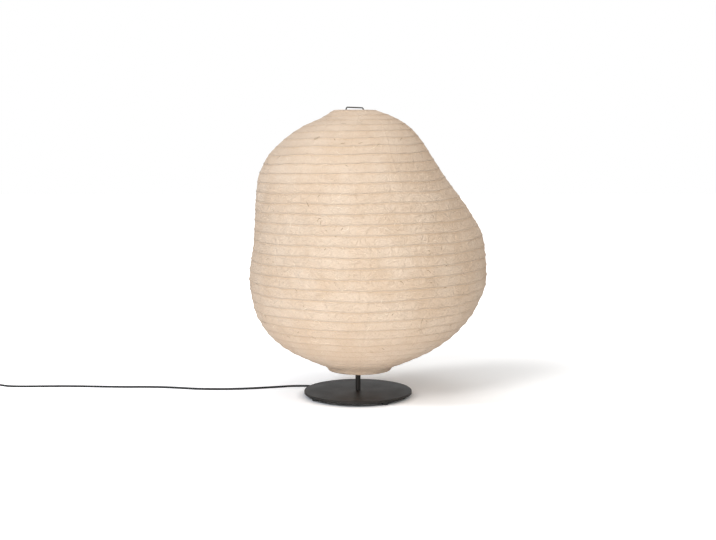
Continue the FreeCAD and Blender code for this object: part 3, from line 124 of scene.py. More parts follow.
def caps(rings, sides):
    """The closing faces of the first and the last ring."""
    return [tuple(reversed(range(sides))), tuple(range((rings - 1) * sides, rings * sides))]


def across(way):
    """A direction square to way."""
    return np.cross(way, (0.0, 0.0, 1.0) if abs(way[2]) < 0.9 else (1.0, 0.0, 0.0))


def tube_of(path, radius, sides, closed=False):
    """Points and faces of a round tube along a path of points."""
    path = np.asarray(path, dtype=float)
    ahead = np.roll(path, -1, axis=0) - path
    back = path - np.roll(path, 1, axis=0)
    if not closed:
        ahead[-1], back[0] = back[-1], ahead[0]
    way = (ahead / np.linalg.norm(ahead, axis=1)[:, None]
           + back / np.linalg.norm(back, axis=1)[:, None])
    way /= np.linalg.norm(way, axis=1)[:, None]
    side = across(way[0])
    angle = TURN * np.arange(sides) / sides
    points = []
    for spot, direction in zip(path, way):
        side = side - direction * side.dot(direction)
        side /= np.linalg.norm(side)
        up = np.cross(side, direction)
        points += [spot + radius * (math.cos(a) * side + math.sin(a) * up) for a in angle]
    faces = bands(len(path), sides, closed)
    if not closed:
        faces += caps(len(path), sides)
    return points, faces


def turned(foot, way, profile, sides=48):
    """Points and faces of a body turned about an axis: profile gives (along, radius) pairs,
    and both its ends are closed."""
    foot, way = np.asarray(foot, dtype=float), np.asarray(way, dtype=float)
    side = across(way)
    up = np.cross(side, way)
    angle = TURN * np.arange(sides) / sides
    points = [foot + along * way + radius * (math.cos(a) * side + math.sin(a) * up)
              for along, radius in profile for a in angle]
    return points, bands(len(profile), sides) + caps(len(profile), sides)


def merged(pieces):
    """Several lists of points and faces as one."""
    points, faces = [], []
    for some, corners in pieces:
        shift = len(points)
        points += list(some)
        faces += [tuple(corner + shift for corner in face) for face in corners]
    return points, faces


# ---------------------------------------------------------------- surface of the shade

def hermite(heights, values, at):
    """Cubic pieces through the stations, each slope the harmonic mean of its two chords."""
    spans = np.diff(heights)
    chords = np.diff(values) / spans
    before, after = chords[:-1], chords[1:]
    both = np.where(before + after == 0, 1, before + after)
    mean = np.where(before * after > 0, 2 * before * after / both, 0)
    slopes = np.concatenate([[chords[0]], mean, [chords[-1]]])
    piece = np.clip(np.searchsorted(heights, at, side="right") - 1, 0, len(spans) - 1)
    t = (at - heights[piece]) / spans[piece]
    r = 1 - t
    return (values[piece] * r * r * (1 + 2 * t) + values[piece + 1] * t * t * (3 - 2 * t)
            + spans[piece] * t * r * (slopes[piece] * r - slopes[piece + 1] * t))


def reaches(height):
    """How far the shade reaches to the left and to the right of the stem."""
    return [hermite(STATIONS[:, 0], STATIONS[:, side], height) for side in (1, 2)]


# The mean meridian: heights, radii, and the share of its length at each height.
LINE_Z = np.linspace(STATIONS[0, 0], STATIONS[-1, 0], 4001)
LINE_RADIUS = sum(reaches(LINE_Z)) / 2
LINE_RUN = np.concatenate([[0], np.cumsum(np.hypot(np.diff(LINE_Z), np.diff(LINE_RADIUS)))])
MERIDIAN = LINE_RUN[-1]
LINE_RUN /= MERIDIAN


def shade_point(theta, s, proud):
    """Point of the shade, in millimetres from the stem: angle theta from +X, share s of
    the meridian from the bottom rim, and proud millimetres out along the meridian's normal."""
    z = np.interp(s, LINE_RUN, LINE_Z)
    left, right = reaches(z)
    low, high = np.clip(s - SLOPE_STEP, 0, 1), np.clip(s + SLOPE_STEP, 0, 1)
    dz = np.interp(high, LINE_RUN, LINE_Z) - np.interp(low, LINE_RUN, LINE_Z)
    dr = np.interp(high, LINE_RUN, LINE_RADIUS) - np.interp(low, LINE_RUN, LINE_RADIUS)
    length = np.hypot(dz, dr)
    centre, radius = (right - left) / 2, (right + left) / 2
    out = radius + proud * dz / length
    return np.stack([centre + out * np.cos(theta), out * np.sin(theta),
                     z - proud * dr / length], axis=-1)


def waves(theta, s, kind):
    """Sum of slanted waves round the shade, with seeded numbers of crests, tilts and phases."""
    seed, terms = kind
    chance = np.random.default_rng(seed)
    total = np.zeros_like(theta)
    for fewest, most, rows, size in terms:
        m = chance.integers(fewest, most + 1)
        n = chance.uniform(-rows, rows)
        total += size * np.sin(m * theta + TURN * n * s + chance.uniform(0, TURN))
    return total


def even(low, high, value):
    """A smooth step from 0 at low to 1 at high."""
    part = np.clip((value - low) / (high - low), 0, 1)
    return part * part * (3 - 2 * part)


def bell(value, width):
    """A bump of height 1 round 0."""
    return np.exp(-(value / width) ** 2)


def looseness(s):
    """How slack the paper is, by height: most in the middle."""
    return np.interp(s, LOOSE_AT, LOOSE)


def rim_fade(s):
    """0 at either rim and 1 away from both."""
    return even(0, RIM_FADE, np.minimum(s, 1 - s))


def creases(theta, s, away):
    """Sharp folds across the sag, most of them in the middle of the shade."""
    free = np.sin(math.pi * np.clip(away, 0, 0.5)) ** 2
    middle = bell(s - 0.52, 0.27)
    long, short = (np.clip(1 - np.abs(waves(theta, s, kind)), -0.4, 1) ** 3
                   for kind in (LONG_CREASES, SHORT_CREASES))
    return free * (0.2 + 0.8 * middle) * (1.3 * long + 1.0 * short)


def paper_relief(theta, s):
    """How far the paper stands out: a crest on every turn of the bamboo with a tuck under
    it, a sag between the turns that differs from one glued strip to the next, creases across
    the sag, and a slow unevenness. It fades to nothing at the rims."""
    phase = RIBS * s - theta / TURN
    above = phase - np.round(phase)
    away = np.abs(above)
    panel = PANELS * (theta / TURN + PANEL_SHIFT)
    joint = np.round(panel).astype(int)
    turn = np.floor(phase).astype(int) % SLACK.shape[1]
    side = even(-PANEL_BLEND, PANEL_BLEND, panel - joint)
    slack = (SLACK[(joint - 1) % PANELS, turn] * (1 - side)
             + SLACK[joint % PANELS, turn] * side)
    loose = looseness(s)
    sag = PAPER_SAG * loose * slack * np.sin(math.pi * np.clip(2 * away, 0, 1) / 2) ** 1.2
    crest = RIB_CREST * (0.3 + 0.7 * loose) * bell(away, CREST_WIDTH)
    tuck = TUCK_DEPTH * loose * slack * bell(above - TUCK_PLACE, TUCK_WIDTH)
    lap = LAP_HEIGHT * bell(panel - joint, LAP_WIDTH)
    return (crest - sag - tuck + creases(theta, s, away) + waves(theta, s, UNEVEN)
            + lap) * rim_fade(s)


def inside_relief(theta, s):
    """The skin's plainer inside: it meets each turn of the bamboo and lies behind the
    deepest sag between two turns."""
    phase = RIBS * s - theta / TURN
    away = np.abs(phase - np.round(phase))
    loose = looseness(s)
    crest = RIB_CREST * bell(away, CREST_WIDTH)
    behind = ((DEEPEST_SAG * PAPER_SAG + 0.6)
              * np.sqrt(np.sin(math.pi * np.clip(2.2 * away, 0, 1) / 2)))
    return (crest * (0.3 + 0.7 * loose) - behind * (0.2 + 0.8 * loose)
            + waves(theta, s, UNEVEN)) * rim_fade(s) - PAPER - 0.25


def skin_point(theta, s, lift, relief=paper_relief):
    """Point on the dressed skin, raised by lift. The turns wander a little up and down."""
    edge = even(0.01, 0.06, np.minimum(s, 1 - s))
    wander = WANDER_REACH * waves(theta, s, WANDER) * edge / MERIDIAN
    return shade_point(theta, s + wander, relief(theta, s) + lift)


def spiral_sheet(columns, phases, relief):
    """Grid of the shade whose rows run along the turns of the bamboo, so that every crest
    falls on a row. phases are the rows' places within one turn; a column ends in one shared
    point on each rim. Gives points, faces, uv corners and the two rims."""
    per = len(phases)
    theta = TURN * np.arange(columns) / columns
    rows = np.arange(-per, per * (RIBS + 1) + 1)
    turn = rows // per + np.asarray(phases)[rows % per]
    s = (turn[None, :] + theta[:, None] / TURN) / RIBS
    between = (s > RIM_SNAP) & (s < 1 - RIM_SNAP)
    bottom, top = np.arange(columns), np.arange(columns) + columns
    index = np.full(s.shape, -1)
    index[between] = np.arange(int(between.sum())) + 2 * columns
    index = np.where(s <= RIM_SNAP, bottom[:, None], index)
    index = np.where(s >= 1 - RIM_SNAP, top[:, None], index)
    round_at = np.broadcast_to(theta[:, None], s.shape)[between]
    point_s = np.concatenate([np.zeros(columns), np.ones(columns), s[between]])
    points = skin_point(np.concatenate([theta, theta, round_at]), point_s, 0.0, relief)
    # The column after the last is the first one, a whole turn of the bamboo further up.
    following = np.concatenate([index[1:], np.full((1, len(rows)), -1)])
    following[-1, :-per] = index[0, per:]
    following[-1, -per:] = top[0]
    faces, uvs = [], []
    for i in range(columns):
        for j in range(len(rows) - 1):
            ring = [(index[i, j], i), (following[i, j], i + 1),
                    (following[i, j + 1], i + 1), (index[i, j + 1], i)]
            face, uv = [], []
            for corner, column in ring:
                if corner not in face:
                    face.append(corner)
                    u = column / columns
                    uv.append((u, RIBS * point_s[corner] - u))
            if len(face) > 2:
                faces.append(face)
                uvs.extend(uv)
    return points, faces, uvs, bottom, top


# ---------------------------------------------------------------- materials

FLOAT, COLOUR = "NodeSocketFloat", "NodeSocketColor"
FINISH = [("Base Color", COLOUR), ("Roughness", FLOAT), ("Bump Height", FLOAT)]


def node(tree, kind, links=None, **settings):
    """A node with its settings, and its inputs linked or given a value."""
    made = tree.nodes.new(kind)
    for key, value in settings.items():
        setattr(made, key, value)
    for socket, source in (links or {}).items():
        feed(tree, source, made.inputs[socket])
    return made


def feed(tree, source, target):
    """Link a socket to an input, or set the input to a value."""
    if isinstance(source, bpy.types.NodeSocket):
        tree.links.new(source, target)
    else:
        target.default_value = source


def maths(tree, operation, *values, clamp=False):
    return node(tree, "ShaderNodeMath", dict(enumerate(values)), operation=operation,
                use_clamp=clamp).outputs[0]


def times(tree, value, *factors):
    for factor in factors:
        value = maths(tree, "MULTIPLY", value, factor)
    return value


def plus(tree, value, *others):
    for other in others:
        value = maths(tree, "ADD", value, other)
    return value


def less(tree, value, other, clamp=False):
    return maths(tree, "SUBTRACT", value, other, clamp=clamp)


def vector(tree, operation, *values, output="Vector"):
    return node(tree, "ShaderNodeVectorMath", dict(enumerate(values)),
                operation=operation).outputs[output]


def scaled(tree, colour, factor):
    made = node(tree, "ShaderNodeVectorMath", {0: colour, "Scale": factor}, operation="SCALE")
    return made.outputs[0]


def span(tree, value, low, high, to_low=0.0, to_high=1.0, smooth=True):
    """value's range low to high mapped to another, held at its ends."""
    return node(tree, "ShaderNodeMapRange", {0: value, 1: low, 2: high, 3: to_low, 4: to_high},
                interpolation_type="SMOOTHSTEP" if smooth else "LINEAR").outputs[0]


def blend(tree, amount, first, second, mode="MIX"):
    made = tree.nodes.new("ShaderNodeMix")
    made.data_type, made.blend_type = "RGBA", mode
    for socket, source in ((0, amount), (6, first), (7, second)):
        feed(tree, source, made.inputs[socket])
    return made.outputs[2]


def noise(tree, place, scale, detail=2.0, rough=0.5, distortion=0.0, output="Fac"):
    """Noise with scale lumps to the metre."""
    return node(tree, "ShaderNodeTexNoise", {
        "Vector": place, "Scale": scale, "Detail": detail, "Roughness": rough,
        "Distortion": distortion}).outputs[output]


def group(name, inputs):
    """An empty node group that gives a finish: the tree, its inputs and its outputs."""
    tree = bpy.data.node_groups.new(name, "ShaderNodeTree")
    for label, kind, default in inputs:
        socket = tree.interface.new_socket(label, in_out="INPUT", socket_type=kind)
        socket.default_value = default
    for label, kind in FINISH:
        tree.interface.new_socket(label, in_out="OUTPUT", socket_type=kind)
    return tree, tree.nodes.new("NodeGroupInput").outputs, tree.nodes.new("NodeGroupOutput").inputs


def object_place(tree):
    return node(tree, "ShaderNodeTexCoord").outputs["Object"]


def finish_group():
    """Painted, moulded or plated finish: fine grain, slow mottle, dust and rubbed patches."""
    tree, given, result = group("fine_finish", [
        ("Colour", COLOUR, (0.1, 0.1, 0.1, 1)), ("Worn Colour", COLOUR, (0.2, 0.2, 0.2, 1)),
        ("Grain Scale", FLOAT, 1500.0), ("Roughness", FLOAT, 0.5), ("Mottle", FLOAT, 0.1),
        ("Wear", FLOAT, 0.1)])
    place = object_place(tree)
    grain = noise(tree, place, given["Grain Scale"], detail=3.0, rough=0.6)
    slow = noise(tree, place, 22.0, detail=4.0, rough=0.6)
    rubbed = noise(tree, place, 95.0, detail=5.0, rough=0.7, distortion=0.6)
    patch = times(tree, span(tree, rubbed, 0.58, 0.78), given["Wear"])
    shift = times(tree, less(tree, slow, 0.5), given["Mottle"])
    speck = times(tree, less(tree, grain, 0.5), given["Mottle"])
    toned = scaled(tree, given["Colour"], plus(tree, 1.0, shift, speck))
    feed(tree, blend(tree, patch, toned, given["Worn Colour"]), result["Base Color"])
    rough = plus(tree, given["Roughness"], times(tree, shift, 1.2))
    feed(tree, less(tree, rough, times(tree, patch, 0.25), clamp=True), result["Roughness"])
    feed(tree, plus(tree, grain, times(tree, rubbed, 0.3)), result["Bump Height"])
    return tree


def jacket_group():
    """The smooth drawn jacket of the flex: slow changes of sheen, and dust."""
    tree, given, result = group("flex_jacket", [("Colour", COLOUR, (0.02, 0.02, 0.02, 1))])
    place = object_place(tree)
    fine_grain = noise(tree, place, 1900.0)
    slow = noise(tree, place, 60.0, detail=4.0, rough=0.65)
    dust = times(tree, span(tree, slow, 0.5, 0.8), 0.3)
    dusty = blend(tree, dust, given["Colour"], (0.07, 0.068, 0.064, 1))
    feed(tree, dusty, result["Base Color"])
    feed(tree, span(tree, slow, 0.3, 0.7, 0.42, 0.58), result["Roughness"])
    feed(tree, fine_grain, result["Bump Height"])
    return tree


def strands(tree, place, scale, distortion, width, offset):
    """Thin winding lines: where a distorted noise passes through its middle."""
    moved = vector(tree, "ADD", place, (offset, offset, offset))
    value = noise(tree, moved, scale, detail=1.0, distortion=distortion)
    gap = maths(tree, "ABSOLUTE", less(tree, value, 0.5))
    return span(tree, gap, 0.0, width, 1.0, 0.0)


def paper_colour(tree, given, place, turn, rib, lap, pale, grain):
    """Cloudy pulp with pale and brown fibres, a painted highlight along each rib with a painted
    warm shade just under it, laps, and mealy specks."""
    cloud = noise(tree, place, 14.0, detail=5.0, rough=0.62)
    brown_spots = span(tree, noise(tree, place, 26.0), 0.56, 0.66)
    brown = times(tree, strands(tree, place, 70.0, 1.8, 0.007, 7.7), brown_spots)
    within = maths(tree, "FRACT", turn)
    # Painted shade: the band just under each rib is tinted warm and dark.
    under = times(tree, span(tree, within, 0.74, 0.87), span(tree, within, 0.90, 0.98, 1.0, 0.0))
    base = blend(tree, span(tree, cloud, 0.3, 0.7), given["Pulp"], given["Pale"])
    # Blends: pale fibres, bark, the painted highlight on each rib, the painted shade under it, and
    # the laps.
    for amount, share, colour in ((pale, 0.55, "Pale"), (brown, 0.4, "Bark"), (rib, 0.45, "Pale"),
                                  (under, 0.30, "Painted Shade"), (lap, 0.22, "Pulp")):
        base = blend(tree, times(tree, amount, share), base, given[colour])
    mealy = noise(tree, place, 330.0, rough=0.7)
    speckle = times(tree, span(tree, grain, 0.25, 0.75, 0.955, 1.03, smooth=False),
                    span(tree, mealy, 0.3, 0.7, 0.945, 1.04, smooth=False))
    return scaled(tree, base, speckle)


def paper_height(tree, place, away, pulp, grain, lap, pale):
    """Crumple between the ribs, most in the middle of the shade, over pulp and grain, with
    the rib, the laps and the pale fibres standing out."""
    bent = noise(tree, place, 30.0, detail=3.0, rough=0.6, output="Color")
    warped = vector(tree, "MULTIPLY_ADD", bent, (0.012, 0.012, 0.02), place)
    flat = vector(tree, "MULTIPLY", warped, (1.0, 1.0, 1.9))
    cells = node(tree, "ShaderNodeTexVoronoi", {"Vector": flat, "Scale": 38.0},
                 feature="DISTANCE_TO_EDGE").outputs["Distance"]
    fold = span(tree, cells, 0.0, 0.30, 1.0, 0.0)
    ridge = noise(tree, warped, 44.0, rough=0.55, distortion=0.8)
    ridge = maths(tree, "ABSOLUTE", less(tree, ridge, 0.5))
    ridge = span(tree, ridge, 0.0, 0.11, 1.0, 0.0)
    up = node(tree, "ShaderNodeSeparateXYZ", {0: place}).outputs[2]
    worked = times(tree, span(tree, up, 0.08, 0.26, 0.35, 1.0),
                   span(tree, up, 0.42, 0.58, 1.0, 0.4))
    folds = plus(tree, times(tree, fold, 0.6), times(tree, ridge, 0.55))
    height = times(tree, folds, worked, span(tree, away, 0.02, 0.16))
    rib = span(tree, away, 0.0, 0.06, 1.0, 0.0)
    for part, share in ((pulp, 1.1), (grain, 0.10), (rib, 0.9), (lap, 0.25), (pale, 0.2)):
        height = plus(tree, height, times(tree, part, share))
    return height


def paper_group():
    """Mulberry paper. The uv map holds turns round the shade and turns of the bamboo."""
    tree, given, result = group("mulberry_paper", [
        ("Pulp", COLOUR, (0.8, 0.65, 0.48, 1)), ("Pale", COLOUR, (0.88, 0.77, 0.62, 1)),
        ("Bark", COLOUR, (0.42, 0.28, 0.16, 1)), ("Painted Shade", COLOUR, (0.5, 0.35, 0.2, 1))])
    coords = node(tree, "ShaderNodeTexCoord").outputs
    place = coords["Object"]
    around, turn, _ = node(tree, "ShaderNodeSeparateXYZ", {0: coords["UV"]}).outputs
    away = maths(tree, "PINGPONG", turn, 0.5)
    # rib marks the crest of each turn; paper_colour pales it there as a painted highlight.
    rib = span(tree, away, 0.0, 0.10, 1.0, 0.0)
    panel = times(tree, plus(tree, around, PANEL_SHIFT), PANELS)
    lap = span(tree, maths(tree, "PINGPONG", panel, 0.5), 0.0, 0.045, 1.0, 0.0)
    pulp = noise(tree, place, 130.0, detail=4.0, rough=0.6, distortion=0.4)
    grain = noise(tree, place, 900.0, rough=0.6)
    patchy = span(tree, noise(tree, place, 40.0), 0.5, 0.62)
    pale = times(tree, strands(tree, place, 55.0, 2.2, 0.010, 3.1), patchy)
    colour = paper_colour(tree, given, place, turn, rib, lap, pale, grain)
    feed(tree, colour, result["Base Color"])
    feed(tree, span(tree, pulp, 0.3, 0.7, 0.72, 0.9), result["Roughness"])
    feed(tree, paper_height(tree, place, away, pulp, grain, lap, pale), result["Bump Height"])
    return tree


def material(name, tree, relief, depth, settings, edge=None, **constants):
    """A Principled shader fed by a shared group, with a bump of strength relief over depth
    metres. Where the surface turns away from the eye its colour is multiplied by edge, a
    painted shade. The constants are the shader's other sockets, with _ for a space."""
    made = bpy.data.materials.new(name)
    made.use_nodes = True
    nodes = made.node_tree
    shader = nodes.nodes["Principled BSDF"].inputs
    source = nodes.nodes.new("ShaderNodeGroup")
    source.node_tree = tree
    for label, value in settings.items():
        source.inputs[label].default_value = value
    colour = source.outputs["Base Color"]
    bump = node(nodes, "ShaderNodeBump", {
        "Strength": relief, "Distance": depth, "Height": source.outputs["Bump Height"]})
    feed(nodes, source.outputs["Roughness"], shader["Roughness"])
    feed(nodes, bump.outputs["Normal"], shader["Normal"])
    if edge:
        facing = node(nodes, "ShaderNodeLayerWeight", {"Blend": 0.3}).outputs["Facing"]
        painted_edge_shade = blend(nodes, 1.0, colour, edge, mode="MULTIPLY")
        colour = blend(nodes, facing, colour, painted_edge_shade)
    feed(nodes, colour, shader["Base Color"])
    for label, value in constants.items():
        shader[label.replace("_", " ")].default_value = value
    return made


def grey(value, warm=0.0):
    """A grey, with red raised and blue lowered by the share warm."""
    return (value * (1 + warm), value, value * (1 - warm), 1)


FINE, JACKET, MULBERRY = finish_group(), jacket_group(), paper_group()


def fine(name, colour, worn, rough, grain, mottle, wear, relief, depth=0.0002, **constants):
    """A finish with its grain in lumps to the metre, and shares of mottle and wear."""
    return material(name, FINE, relief, depth, {
        "Colour": colour, "Worn Colour": worn, "Grain Scale": grain, "Roughness": rough,
        "Mottle": mottle, "Wear": wear}, **constants)


def paper(name, relief, depth, pulp, pale, **extra):
    """One side of the paper, with its own pulp and fibre colours."""
    return material(name, MULBERRY, relief, depth, {
        "Pulp": pulp, "Pale": pale, "Bark": (0.28, 0.175, 0.09, 1),
        "Painted Shade": (0.56, 0.37, 0.22, 1)}, Specular_IOR_Level=0.2, **extra)


LOOK = {
    "black_coat": fine("powder_coat", grey(0.0100, 0.16), grey(0.020, 0.10), rough=0.55,
                       grain=2600.0, mottle=0.2, wear=0.08, relief=0.30, Specular_IOR_Level=0.3),
    "rubber": fine("rubber", grey(0.012), grey(0.03), rough=0.75,
                   grain=1800.0, mottle=0.3, wear=0.3, relief=0.3, depth=0.0003),
    "black_plastic": fine("moulded_plastic", grey(0.012), grey(0.026), rough=0.46,
                          grain=2400.0, mottle=0.2, wear=0.2, relief=0.3,
                          Specular_IOR_Level=0.3),
    "black_gloss": fine("gloss_plastic", grey(0.012), grey(0.03), rough=0.18,
                        grain=900.0, mottle=0.1, wear=0.3, relief=0.04, Coat_Weight=0.3),
    "zinc": fine("zinc_plate", (0.62, 0.62, 0.6, 1), (0.4, 0.38, 0.34, 1), rough=0.34,
                 grain=1300.0, mottle=0.2, wear=0.35, relief=0.15, Metallic=1.0),
    "brass": fine("brass", (0.78, 0.58, 0.28, 1), (0.42, 0.3, 0.14, 1), rough=0.28,
                  grain=1300.0, mottle=0.2, wear=0.4, relief=0.12, Metallic=1.0),
    "nickel": fine("nickel_plate", (0.72, 0.69, 0.63, 1), (0.5, 0.46, 0.4, 1), rough=0.2,
                   grain=1300.0, mottle=0.15, wear=0.25, relief=0.1, Metallic=1.0),
    "ceramic": fine("ceramic", (0.82, 0.8, 0.75, 1), (0.6, 0.57, 0.5, 1), rough=0.3,
                    grain=700.0, mottle=0.08, wear=0.12, relief=0.08),
    "opal": fine("opal_glass", (0.9, 0.895, 0.87, 1), (0.84, 0.83, 0.8, 1), rough=0.22,
                 grain=500.0, mottle=0.03, wear=0.05, relief=0.03, depth=0.0001),
    "nylon": fine("nylon", (0.78, 0.76, 0.7, 1), (0.6, 0.57, 0.5, 1), rough=0.5,
                  grain=1500.0, mottle=0.1, wear=0.15, relief=0.1),
    "wire": fine("coated_wire", grey(0.022), grey(0.05), rough=0.4,
                 grain=1900.0, mottle=0.3, wear=0.25, relief=0.2),
    "flex": material("flex", JACKET, 0.15, 0.0002, {"Colour": grey(0.011)},
                     Specular_IOR_Level=0.3),
    # The paper's edge tint darkens and warms it towards its outline: painted shade.
    "paper": paper("mulberry_paper", 0.8, 0.0022, (0.605, 0.458, 0.330, 1),
                   (0.662, 0.528, 0.405, 1), edge=(0.91, 0.87, 0.83, 1),
                   Sheen_Weight=0.12, Sheen_Roughness=0.6),
    # A faint glow stands in for the light that comes through the paper.
    "paper_inside": paper("paper_inside", 0.5, 0.0012, (0.62, 0.465, 0.33, 1),
                          (0.68, 0.55, 0.41, 1), Emission_Color=(0.95, 0.70, 0.46, 1),
                          Emission_Strength=0.18),
    "bamboo": fine("bamboo_splint", (0.52, 0.37, 0.19, 1), (0.36, 0.24, 0.11, 1), rough=0.5,
                   grain=700.0, mottle=0.35, wear=0.4, relief=0.3, depth=0.0003),
    "fleck": fine("bark_fleck", (0.22, 0.14, 0.075, 1), (0.36, 0.25, 0.15, 1), rough=0.8,
                  grain=1500.0, mottle=0.8, wear=0.6, relief=0.3),
    "fleck_pale": fine("fibre_pale", (0.80, 0.70, 0.56, 1), (0.70, 0.58, 0.43, 1), rough=0.8,
                       grain=1500.0, mottle=0.3, wear=0.5, relief=0.3),
}

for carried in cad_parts.values():
    for place in carried.material_slots:
        if place.material and place.material.name.split(".")[0] in LOOK:
            place.material = LOOK[place.material.name.split(".")[0]]


# ---------------------------------------------------------------- shade

SKIN_COLUMNS = 240
OUTER_PHASES = [0.0, 0.06, 0.15, 0.32, 0.52, 0.71, 0.84, 0.93]
INNER_PHASES = [0.0, 0.14, 0.50, 0.80]

SPLINT_STEPS = 72          # points of the splint in one turn
SPLINT_HALF = 1.0          # half its width
SPLINT_DEPTHS = 0.2, 1.6   # its outer and inner face, behind the paper's inside

ROLLS = [("bottom_fold", 63.9, 70.4), ("top_fold", 655.9, 45.9)]   # height and radius
ROLL_STEPS, ROLL_SIDES = 180, 12
ROLL_RADIUS, ROLL_UNEVEN = 2.05, 0.10

FLECK_STEPS = 7
FLECK_LIFT = 0.25

WIRE_RADIUS, WIRE_SIDES = 1.5, 16
BOW_TURN = math.radians(62)
# The bow's corners on one side: distance from the axis and height, then the bends there.
BOW_HALF = [(69.9, 66.95), (42, 93), (42, 663.5)]
BOW_BENDS = 21, 7, 7, 21
BEND_STEPS = 8
SEAT_RING = 34.5
STUBS = [(33, 42, 258.3), (42, 46.1, 652.9)]   # spokes and ears: from, to and height

GLOBE_RADIUS, GLOBE_MIDDLE = 30, 352
NECK_RADIUS, NECK_FOOT, NECK_TOP = 13.4, 305.2, 310.8


def make_skin():
    """The paper skin: an outer sheet with crests and creases, an inner sheet a paper's
    thickness or more behind it, joined round both rims."""
    outer, faces, uvs, bottom, top = spiral_sheet(SKIN_COLUMNS, OUTER_PHASES, paper_relief)
    inner, more, more_uvs, _, _ = spiral_sheet(SKIN_COLUMNS, INNER_PHASES, inside_relief)
    shift, first = len(outer), len(faces)
    last = first + len(more)
    place = 0
    for face in more:
        size = len(face)
        faces.append([corner + shift for corner in reversed(face)])
        uvs.extend(reversed(more_uvs[place:place + size]))
        place += size
    for i in range(SKIN_COLUMNS):
        j = (i + 1) % SKIN_COLUMNS
        faces.append([bottom[j], bottom[i], bottom[i] + shift, bottom[j] + shift])
        faces.append([top[i], top[j], top[j] + shift, top[i] + shift])
        uvs.extend([(i / SKIN_COLUMNS, 0.5)] * 8)
    points = from_stem(np.concatenate([outer, inner]))
    skin = mesh_piece("lantern_paper", points, faces, LOOK["paper"], "shade", uvs=uvs)
    skin.data.materials.append(LOOK["paper_inside"])
    skin.data.polygons.foreach_set("material_index", [
        int(first <= i < last) for i in range(len(skin.data.polygons))])
    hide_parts("paper_skin")


def make_bamboo():
    """The bamboo splint: one flat strip wound in a right-handed spiral under the crests."""
    theta = TURN * np.arange(SPLINT_STEPS * RIBS) / SPLINT_STEPS
    s = (1 + theta / TURN) / RIBS
    keep = s < 1 - 0.35 / RIBS
    theta, s = theta[keep], s[keep]
    near, deep = SPLINT_DEPTHS
    edges = [skin_point(theta, s, -depth, inside_relief) + np.array([0, 0, side * SPLINT_HALF])
             for side, depth in ((-1, near), (1, near), (1, deep), (-1, deep))]
    points = np.stack(edges, axis=1).reshape(-1, 3)
    faces = bands(len(theta), len(edges), inward=True)
    faces += [(3, 2, 1, 0), tuple(range(len(points) - 4, len(points)))]
    piece = mesh_piece("bamboo_spiral", from_stem(points), faces, LOOK["bamboo"], "shade",
                       smooth=False)


def make_folds():
    """The paper turned over each wire ring and glued: a soft, slightly uneven roll."""
    theta = TURN * np.arange(ROLL_STEPS) / ROLL_STEPS
    around = TURN * np.arange(ROLL_SIDES) / ROLL_SIDES
    thick = ROLL_RADIUS + ROLL_UNEVEN * waves(theta, theta * 0, ROLL_WOBBLE)
    for name, height, radius in ROLLS:
        out = radius + thick[:, None] * np.cos(around)[None, :]
        z = height + thick[:, None] * np.sin(around)[None, :]
        points = np.stack([LEAN * (SEAT - height) + out * np.cos(theta)[:, None],
                           out * np.sin(theta)[:, None], z], axis=-1).reshape(-1, 3)
        faces = bands(ROLL_STEPS, ROLL_SIDES, closed=True, inward=True)
        uvs = [(0.3, 0.5)] * (4 * len(faces))
        piece = mesh_piece(name, from_stem(points), faces, LOOK["paper"], "shade", uvs=uvs)


def make_flecks(name, look, number, shortest, longest, wide, seed):
    """Bark flecks and long fibres pressed into the paper: short bent slivers that follow
    the skin's surface, scattered by a seeded draw."""
    chance = np.random.default_rng(seed)
    along = np.linspace(-0.5, 0.5, FLECK_STEPS)
    taper = 0.35 + 0.65 * np.sqrt(np.clip(1 - (2 * along) ** 2, 0, 1))
    points = []
    for _ in range(number):
        theta = chance.uniform(0, TURN)
        s = chance.uniform(0.05, 0.95)
        step = chance.uniform(shortest, longest) / (FLECK_STEPS - 1)
        heading = chance.normal(0.25, 0.75)
        angle = heading + chance.normal(0, 1.4) * along
        du = np.concatenate([[0], np.cumsum(np.cos(angle[1:]) * step)])
        dv = np.concatenate([[0], np.cumsum(np.sin(angle[1:]) * step)])
        width = wide * taper * chance.uniform(0.7, 1.3)
        radius = float(np.interp(s, LINE_RUN, LINE_RADIUS))
        for side in (-1, 1):
            t = theta + (du - np.sin(angle) * side * width / 2) / radius
            v = s + (dv + np.cos(angle) * side * width / 2) / MERIDIAN
            points.append(skin_point(t, v, FLECK_LIFT))
    faces = [(i, i + 1, i + 1 + FLECK_STEPS, i + FLECK_STEPS) for fleck in range(number)
             for i in range(2 * fleck * FLECK_STEPS, (2 * fleck + 1) * FLECK_STEPS - 1)]
    piece = mesh_piece(name, from_stem(np.concatenate(points)), faces, LOOK[look], "shade")


def rounded(corners, radii):
    """A path through corners, with an arc of each radius at the ones between the ends."""
    path = [corners[0]]
    for before, corner, after, radius in zip(corners, corners[1:], corners[2:], radii):
        back = (before - corner) / np.linalg.norm(before - corner)
        on = (after - corner) / np.linalg.norm(after - corner)
        bend = math.pi - math.acos(np.clip(back.dot(on), -1, 1))
        setback = radius * math.tan(bend / 2)
        middle = (corner + (back + on) / np.linalg.norm(back + on)
                  * radius / math.cos(bend / 2))
        start, end = corner + back * setback - middle, corner + on * setback - middle
        for k in range(BEND_STEPS + 1):
            part = k / BEND_STEPS
            path.append(middle + (math.sin((1 - part) * bend) * start
                                  + math.sin(part * bend) * end) / math.sin(bend))
    return path + [corners[-1]]


